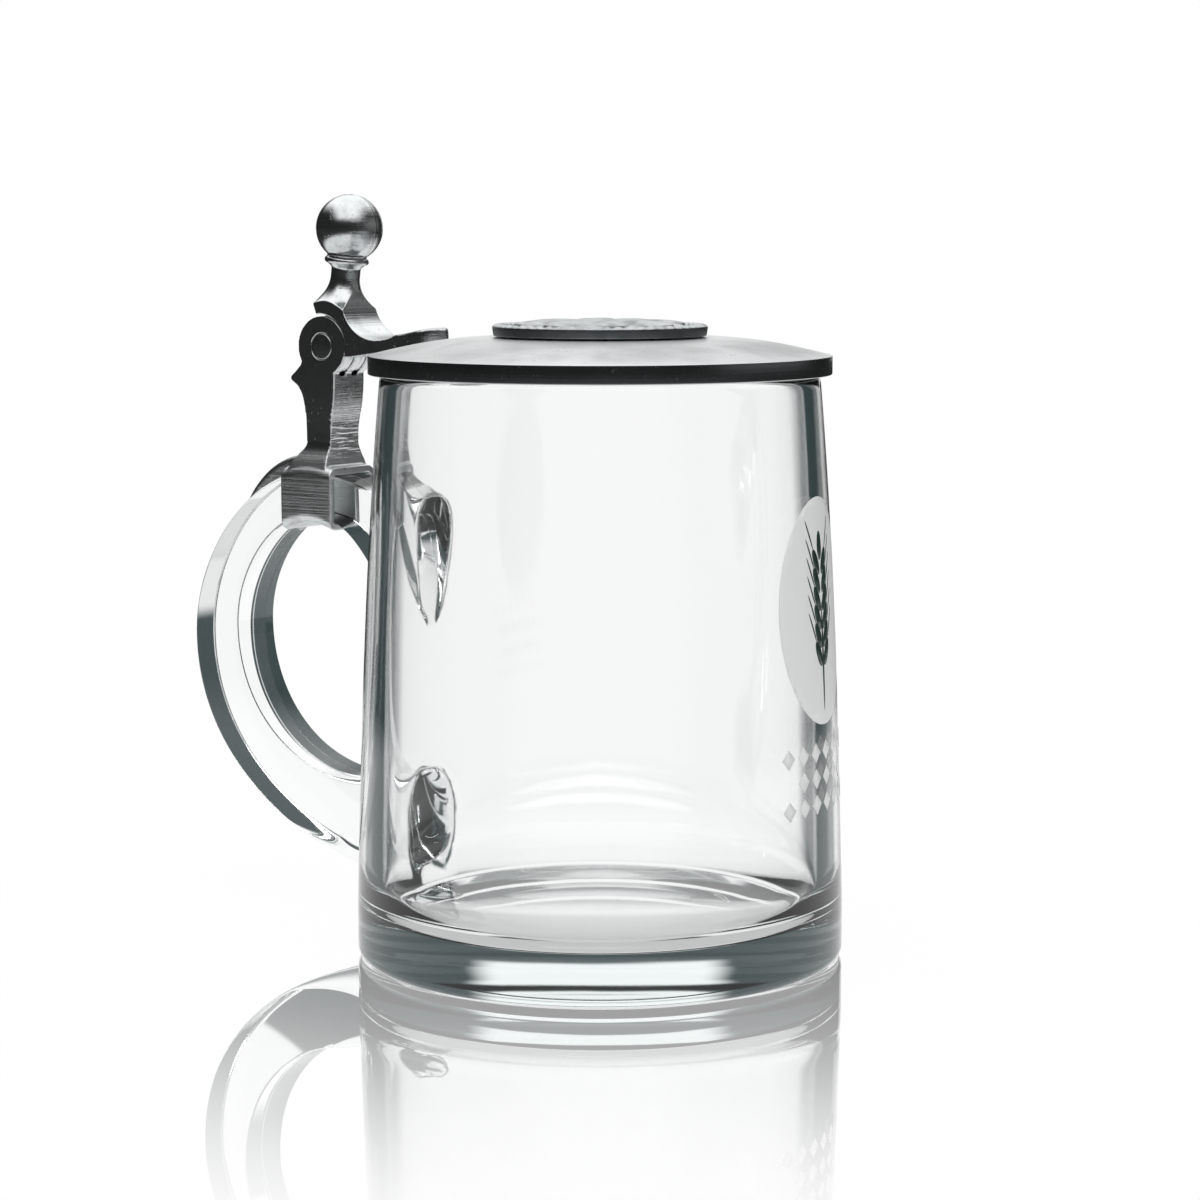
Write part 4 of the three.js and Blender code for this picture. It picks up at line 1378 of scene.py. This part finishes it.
def ball_profile():
    """Neck, bead ring and ball about the stem's own axis."""
    seat = math.degrees(math.asin((BEAD_RADIUS - BEAD_THICKNESS / 3) / BALL_RADIUS))
    bead = at(BEAD_RADIUS - BEAD_THICKNESS / 2, BEAD_HEIGHT)
    return [
        at(0, NECK_HEIGHT / 2),
        at(NECK_RADIUS, NECK_HEIGHT / 2),
        at(NECK_RADIUS, BEAD_HEIGHT - BEAD_THICKNESS),
        *arc(bead, BEAD_THICKNESS / 2, -90, 90),
        *arc(at(0, BALL_HEIGHT), BALL_RADIUS, seat - 90, 90, 6 * ARC_STEPS),
    ]


def scoop_centre():
    return at(PLATE_FRONT + SCOOP_RADIUS, TONGUE_HEIGHT + SCOOP_RADIUS)


def plate_block():
    """The plate seen from the side, its front running down into the scoop."""
    high = PLATE_RISE + NECK_HEIGHT
    scoop = scoop_centre()
    arm_top = math.degrees(math.asin((scoop.z - PLATE_RISE + BELL_DROP) / SCOOP_RADIUS))
    front = arc(scoop, SCOOP_RADIUS, 180 + arm_top, 180)
    outline = [
        at(-PLATE_BACK / 2, 0),
        at(front[0].x, 0),
        *front,
        at(PLATE_FRONT, high),
        at(-PLATE_BACK, high),
        at(-PLATE_BACK, PLATE_RISE),
        at(-PLATE_BACK / 2, RING_RADIUS),
    ]
    return [HINGE + point for point in outline]


def tongue_tip():
    return at(LID_REACH + TONGUE_OVERLAP, TONGUE_THICKNESS + TONGUE_LIFT - LID_DROP)


def arm_side():
    """The arm seen from the side: a scoop from the plate down to the tongue on the lid."""
    scoop = scoop_centre()
    tip = tongue_tip()
    under = -RING_RADIUS / 3
    outline = [
        at(0, under),
        at(RING_CLEAR_RADIUS + LUG_ROOT, under),
        at(LID_REACH - LUG_GAP, -LID_DROP),
        at(tip.x, -LID_DROP),
        *bezier(
            tip - at(0, TONGUE_ROUNDING),
            tip - at(0, TONGUE_ROUNDING / 3),
            tip - at(TONGUE_ROUNDING / 3, 0),
            tip - at(TONGUE_ROUNDING, 0),
        ),
        *arc(scoop, SCOOP_RADIUS, SCOOP_END, 180, 3 * ARC_STEPS),
        at(0, scoop.z),
    ]
    return [HINGE + point for point in outline]


def arm_plan():
    """The arm seen from above: as wide as the plate, then narrowing to the round tongue."""
    scoop_x = PLATE_FRONT + SCOOP_RADIUS
    tip_x = tongue_tip().x
    wide = PLATE_WIDTH / 2
    slim = TONGUE_WIDTH / 2
    narrowing = (scoop_x + LID_REACH) / 2

    def flat(x, y):
        return Vector((x, y, 0))

    left = [
        flat(-PLATE_BACK / 2, wide),
        *bezier(
            flat(scoop_x, wide),
            flat(narrowing, wide),
            flat(narrowing, slim),
            flat(LID_REACH, slim),
        ),
        *bezier(
            flat(tip_x - slim, slim),
            flat(tip_x - slim / 2, slim),
            flat(tip_x, slim / 2),
            flat(tip_x, 0),
        ),
    ]
    right = [flat(point.x, -point.y) for point in left[:-1]]
    middle = (PLATE_RISE - BELL_DROP - RING_RADIUS) / 2
    return [HINGE + point + at(0, middle) for point in right + left[::-1]]


def lug_outline():
    """A lug's disc on the pin, wider over the part of its turn that faces the plate."""
    web = arc(HINGE, RING_CLEAR_RADIUS + LUG_ROOT, LUG_WEB_START, LUG_WEB_END, 3 * ARC_STEPS)
    disc = arc(HINGE, RING_RADIUS - LUG_GAP, LUG_WEB_END, LUG_WEB_START + 360, 6 * ARC_STEPS)
    return web + disc


def lid_keep_out():
    return [
        at(0, LID_LOW.z),
        at(LID_RADIUS + LID_GAP, LID_LOW.z),
        *lid_top(LID_GAP),
        at(0, LID_SEAT + LID_GAP),
    ]


def raise_seam(obj):
    """Lifts the parting line that the mould left round the ball."""
    centre = stem_place() @ at(0, BALL_HEIGHT)
    for vert in obj.data.vertices:
        away = vert.co - centre
        if abs(away.y) < SEAM_HALF_WIDTH and abs(away.length - BALL_RADIUS) < BALL_MARGIN:
            lift = SEAM_HEIGHT * (1 - abs(away.y) / SEAM_HALF_WIDTH)
            vert.co = vert.co + away.normalized() * lift
            vert.co.z = min(vert.co.z, CAD_BOX[1].z)


def round_tongue(obj):
    """Rounds the upper edge of the tongue's end."""
    start = HINGE + tongue_tip() - at(TONGUE_WIDTH, TONGUE_ROUNDING)
    with editing(obj) as bm:
        near = [vert for vert in bm.verts if vert.co.x > start.x and vert.co.z > start.z]
        soften(bm, near, TONGUE_PASSES)


class MUG_OT_thumblift(bpy.types.Operator):
    """Model the thumblift: plate, arm, lugs, neck and ball"""

    bl_idname = "mug.thumblift"
    bl_label = "Thumblift"

    def execute(self, context):
        lift = prism("thumblift_piece", plate_block(), (0, PLATE_WIDTH, 0))
        combine(lift, turned("bell", bell_profile(), ROUND_STEPS, stem_place()), "INTERSECT")
        arm = prism("arm", arm_side(), (0, 2 * PLATE_WIDTH, 0))
        depth = PLATE_RISE - BELL_DROP + RING_RADIUS
        combine(arm, prism("plan", arm_plan(), (0, 0, depth)), "INTERSECT")
        combine(lift, arm, "UNION")
        combine(lift, rod("clear", RING_CLEAR_RADIUS, 2 * PLATE_WIDTH), "DIFFERENCE")
        for sign in (-1, 1):
            lug = prism("lug", lug_outline(), (0, LUG_WIDTH, 0))
            lug.data.transform(Matrix.Translation((0, sign * LUG_OFFSET, 0)))
            combine(lift, lug, "UNION")
        combine(lift, rod("bore", BORE_RADIUS, 2 * PLATE_WIDTH), "DIFFERENCE")
        combine(lift, turned("lid", lid_keep_out(), LID_STEPS), "DIFFERENCE")
        combine(lift, turned("ball", ball_profile(), ROUND_STEPS, stem_place()), "UNION")
        cast_skin(lift, LIFT_VOXEL)
        raise_seam(lift)
        round_tongue(lift)
        dress(lift, bpy.data.materials["filed_pewter"], "lid", "cast_pewter", "thumblift")
        return {"FINISHED"}


# Print


def flat_shape(bm, place, turn, length, width, sides):
    """A flat oval of the print, in metres along the wall and up it."""
    size = Matrix.Diagonal((length / 2, width / 2, 1, 1))
    matrix = Matrix.Translation((*place, 0)) @ Matrix.Rotation(turn, 4, "Z") @ size
    bmesh.ops.create_circle(bm, cap_ends=True, segments=sides, radius=1, matrix=matrix)


def lay_on_wall(bm, glass, thickness):
    """Cuts flat shapes into small faces, thickens them and wraps them round the wall of the glass."""
    for axis in (Vector((1, 0, 0)), Vector((0, 1, 0))):
        places = [vert.co.dot(axis) for vert in bm.verts]
        cuts = math.ceil((max(places) - min(places)) / PRINT_GRID)
        for i in range(1, cuts):
            bmesh.ops.bisect_plane(
                bm,
                geom=bm.verts[:] + bm.edges[:] + bm.faces[:],
                plane_co=axis * mix(min(places), max(places), i / cuts),
                plane_no=axis,
            )
    extrude(bm, bm.faces[:], (0, 0, thickness))
    for vert in bm.verts:
        along, up, out = vert.co
        radius = side_radius(glass, up)
        turn = PRINT_TURN + along / radius
        reach = radius + PRINT_GAP + out
        vert.co = (reach * math.cos(turn), reach * math.sin(turn), up)


def ear_shapes(bm):
    """An upright ear of barley: stalk, two rows of grains with their beards, and a grain at the tip."""
    upright = math.pi / 2
    flat_shape(bm, (0, EAR_FOOT + STALK_MIDDLE), upright, STALK_LENGTH, STALK_WIDTH, GRAIN_SIDES)
    for i in range(EAR_ROWS):
        up = EAR_FOOT + mix(EAR_FIRST_ROW, EAR_LAST_ROW, i / (EAR_ROWS - 1))
        for side in (-1, 1):
            turn = upright - side * GRAIN_LEAN
            flat_shape(bm, (side * GRAIN_OUT, up), turn, GRAIN_LENGTH, GRAIN_WIDTH, GRAIN_SIDES)
            beard = (side * BEARD_OUT, up + BEARD_UP)
            flat_shape(bm, beard, turn, BEARD_LENGTH, BEARD_WIDTH, BEARD_SIDES)
    flat_shape(bm, (0, EAR_FOOT + EAR_TIP), upright, GRAIN_LENGTH, GRAIN_WIDTH, GRAIN_SIDES)


class MUG_OT_print(bpy.types.Operator):
    """Lay the enamel print on the wall: a white oval, a green ear of barley and rows of lozenges"""

    bl_idname = "mug.print"
    bl_label = "Enamel Print"

    def execute(self, context):
        glass = context.scene.mug_glass
        colours = context.scene.mug_print
        white = bmesh.new()
        flat_shape(white, (0, OVAL_MIDDLE), math.pi / 2, OVAL_HEIGHT, OVAL_WIDTH, OVAL_SIDES)
        for row, half in enumerate(LOZENGE_ROWS):
            for i in range(-half, half + 1):
                place = (i * LOZENGE_PITCH, LOZENGE_TOP - row * LOZENGE_PITCH)
                flat_shape(white, place, 0, LOZENGE_SIZE, LOZENGE_SIZE, 4)
        lay_on_wall(white, glass, PRINT_THICKNESS)
        panel = new_object("print_panel", white)
        dress(panel, enamel("white_enamel", colours.ground), "mug", None)
        green = bmesh.new()
        ear_shapes(green)
        lay_on_wall(green, glass, 2 * PRINT_THICKNESS)
        ear = new_object("print_ear", green)
        dress(ear, enamel("green_enamel", colours.ear), "mug", None)
        return {"FINISHED"}


# Stage


def cosine(turn):
    return math.cos(math.radians(turn))


def split_to_view(nodes, vector, stage):
    """The parts of a place or direction to the camera's right, straight ahead and up."""
    turned_vector = nodes.add(
        "ShaderNodeVectorRotate",
        {"rotation_type": "Z_AXIS"},
        {"Vector": vector, "Angle": -stage.azimuth},
    )
    return nodes.split(turned_vector)


def seen_through(nodes, ahead, beside, z):
    """How white glass sees each direction: a backdrop ahead, dark cards beside it, soft light around."""
    hollow = nodes.rise(nodes.ray("Transmission Depth"), 3.2, 3.8)
    band = nodes.rise(z, 0.13, 0.18) * nodes.rise(z, 0.25, 0.24)
    backdrop = nodes.rise(ahead, cosine(22), cosine(15)) * nodes.rise(z, 0.78, 0.48)
    backdrop = backdrop * (1 - (1 - hollow) * band)
    behind = nodes.rise(ahead, cosine(125), cosine(155)) * 0.6
    table = nodes.rise(z, -0.40, -0.55) * nodes.rise(ahead, cosine(100), cosine(45)) * 0.75
    side_table = nodes.rise(z, -0.23, -0.37) * nodes.rise(abs(beside), 0.74, 0.86)
    side_table = side_table * nodes.rise(ahead, cosine(102), cosine(92)) * 0.85
    steep = nodes.rise(z, -0.85, -0.95) * 0.6
    zenith = nodes.rise(z, 0.90, 0.945) * 0.85
    around = nodes.rise(ahead, cosine(26), cosine(33)) * nodes.rise(z, 0.12, 0.04) * hollow * 0.85
    light = backdrop
    for panel in (behind, table, side_table, steep, zenith, around):
        light = light.larger(panel)
    return light


def studio_world(stage):
    """White to the camera. Glass sees white panels between dark cards, and metal a light overhead."""
    world = bpy.data.worlds.new("studio")
    bpy.context.scene.world = world
    nodes = Nodes(world)
    direction = nodes.add("ShaderNodeTexCoord", output="Generated")
    x, y, z = split_to_view(nodes, direction, stage)
    level = (x * x + y * y) ** 0.5
    ahead, beside = y / level, x / level
    overhead = nodes.rise(z, 0.35, 0.62) * nodes.rise(abs(x), 0.85, 0.45)
    side_card = nodes.rise(beside, 0.75, 0.98) * nodes.rise(z, 0.5, 0.3)
    backdrop = nodes.rise(ahead, cosine(23), cosine(15)) * (1 - 0.5 * nodes.rise(z, 0.18, 0.35))
    low = 0.02 + backdrop + side_card * 0.18
    mirrored = low * (1 - overhead) + overhead * 1.45
    mirrored = mirrored.larger(nodes.ray("Is Singular Ray"))
    through = nodes.blend(seen_through(nodes, ahead, beside, z), stage.shade, WHITE)
    light = nodes.blend(nodes.ray("Is Glossy Ray"), (0.7, 0.7, 0.7), mirrored)
    light = nodes.blend(nodes.ray("Is Transmission Ray"), light, through)
    light = nodes.blend(nodes.ray("Is Camera Ray"), light, WHITE)
    background = nodes.add("ShaderNodeBackground", inputs={"Color": light, "Strength": 1.0})
    nodes.output("ShaderNodeOutputWorld", surface=background)


def floor_disc(name, radius, material):
    bm = bmesh.new()
    bmesh.ops.create_circle(bm, cap_ends=True, segments=ROUND_STEPS, radius=radius)
    bmesh.ops.translate(bm, verts=bm.verts, vec=(0, 0, -FLOOR_DROP))
    disc = new_object(name, bm)
    disc.data.materials.append(material)
    return disc


def studio_floor():
    """A pale glossy floor that is white to the camera apart from the mug's shadow and reflection."""
    material, nodes = new_material("floor")
    radius = nodes.radius(nodes.place())
    near = nodes.rise(radius, 0.055, 0.20, 1.0, 0.0)
    lit = nodes.rise(radius, 0.42, 0.28)
    shine = nodes.choose(lit, nodes.glow(0.03), nodes.glow(0.98))
    matt = nodes.add("ShaderNodeBsdfDiffuse", inputs={"Color": (0.85, 0.86, 0.86, 1)})
    gloss = nodes.add("ShaderNodeBsdfGlossy", inputs={"Color": (*WHITE, 1), "Roughness": 0.0})
    fresnel = nodes.add("ShaderNodeFresnel", inputs={"IOR": 1.5})
    to_camera = nodes.choose(near * 0.10, nodes.glow(1.0), matt)
    to_camera = nodes.choose(fresnel * near * 2.6, to_camera, gloss)
    others = nodes.choose(nodes.ray("Is Glossy Ray"), matt, shine)
    surface = nodes.choose(nodes.ray("Is Camera Ray"), others, to_camera)
    nodes.output("ShaderNodeOutputMaterial", surface=surface)
    floor = floor_disc("floor", FLOOR_RADIUS, material)
    floor.visible_transmission = False


def studio_footprint(stage):
    """A glowing disc for the floor under the mug as its thick base shows it: painted shade towards the
    camera, white behind.
    """
    material, nodes = new_material("floor_under_base")
    y = split_to_view(nodes, nodes.place(), stage)[1]
    # Painted shade: the half towards the camera glows at 0.55, the half behind at 0.92.
    surface = nodes.choose(nodes.rise(y, -4 * MM, 6 * MM), nodes.glow(0.55), nodes.glow(0.92))
    nodes.output("ShaderNodeOutputMaterial", surface=surface)
    floor_disc("floor_under_base", FOOT_RADIUS - HEEL_ROUNDING, material)


def top_lamp():
    """A square lamp that looks at the middle of the mug."""
    lamp = bpy.data.lights.new("top_lamp", "AREA")
    lamp.size = LAMP_SIZE
    lamp.energy = LAMP_POWER
    obj = bpy.data.objects.new("top_lamp", lamp)
    obj.location = LAMP_PLACE
    aim = Vector((0, 0, GLASS_HEIGHT / 2)) - obj.location
    obj.rotation_mode = "QUATERNION"
    obj.rotation_quaternion = aim.to_track_quat("-Z", "Y")
    obj.visible_glossy = False
    bpy.context.scene.collection.objects.link(obj)


def studio_camera(stage):
    camera = bpy.data.cameras.new("camera")
    camera.lens = stage.lens
    camera.sensor_width = SENSOR_WIDTH
    obj = bpy.data.objects.new("camera", camera)
    back = Vector((math.sin(stage.azimuth), -math.cos(stage.azimuth), 0))
    obj.location = back * stage.distance + Vector((0, 0, stage.height))
    obj.rotation_euler = (math.pi / 2 - stage.pitch, 0, stage.azimuth)
    bpy.context.scene.collection.objects.link(obj)
    bpy.context.scene.camera = obj


class MUG_OT_stage(bpy.types.Operator):
    """Set the camera, the floor and the studio light"""

    bl_idname = "mug.stage"
    bl_label = "Stage"

    def execute(self, context):
        stage = context.scene.mug_stage
        context.scene.view_settings.view_transform = "Standard"
        studio_camera(stage)
        studio_world(stage)
        studio_floor()
        studio_footprint(stage)
        top_lamp()
        return {"FINISHED"}


OPERATORS = (
    MUG_OT_stage,
    MUG_OT_glass,
    MUG_OT_mount,
    MUG_OT_pin,
    MUG_OT_lid,
    MUG_OT_medallion,
    MUG_OT_thumblift,
    MUG_OT_print,
)


class MUG_PT_panel(bpy.types.Panel):
    """Lists the settings and the steps that build the mug"""

    bl_idname = "MUG_PT_panel"
    bl_label = "Lidded Mug"
    bl_space_type = "VIEW_3D"
    bl_region_type = "UI"
    bl_category = "Mug"

    def draw(self, context):
        for name, group in SETTINGS.items():
            box = self.layout.box()
            for key in group.__annotations__:
                box.prop(getattr(context.scene, name), key)
        for operator in OPERATORS:
            self.layout.operator(operator.bl_idname)


def register():
    for group in SETTINGS.values():
        bpy.utils.register_class(group)
    for name, group in SETTINGS.items():
        setattr(bpy.types.Scene, name, PointerProperty(type=group))
    for cls in (*OPERATORS, MUG_PT_panel):
        bpy.utils.register_class(cls)


def unregister():
    for cls in (MUG_PT_panel, *reversed(OPERATORS)):
        bpy.utils.unregister_class(cls)
    for name, group in SETTINGS.items():
        delattr(bpy.types.Scene, name)
        bpy.utils.unregister_class(group)


def main():
    register()
    bpy.ops.mug.stage()
    bpy.ops.mug.glass()
    bpy.ops.mug.mount()
    bpy.ops.mug.pin()
    bpy.ops.mug.lid()
    bpy.ops.mug.medallion()
    bpy.ops.mug.thumblift()
    bpy.ops.mug.print()


if __name__ == "__main__":
    main()
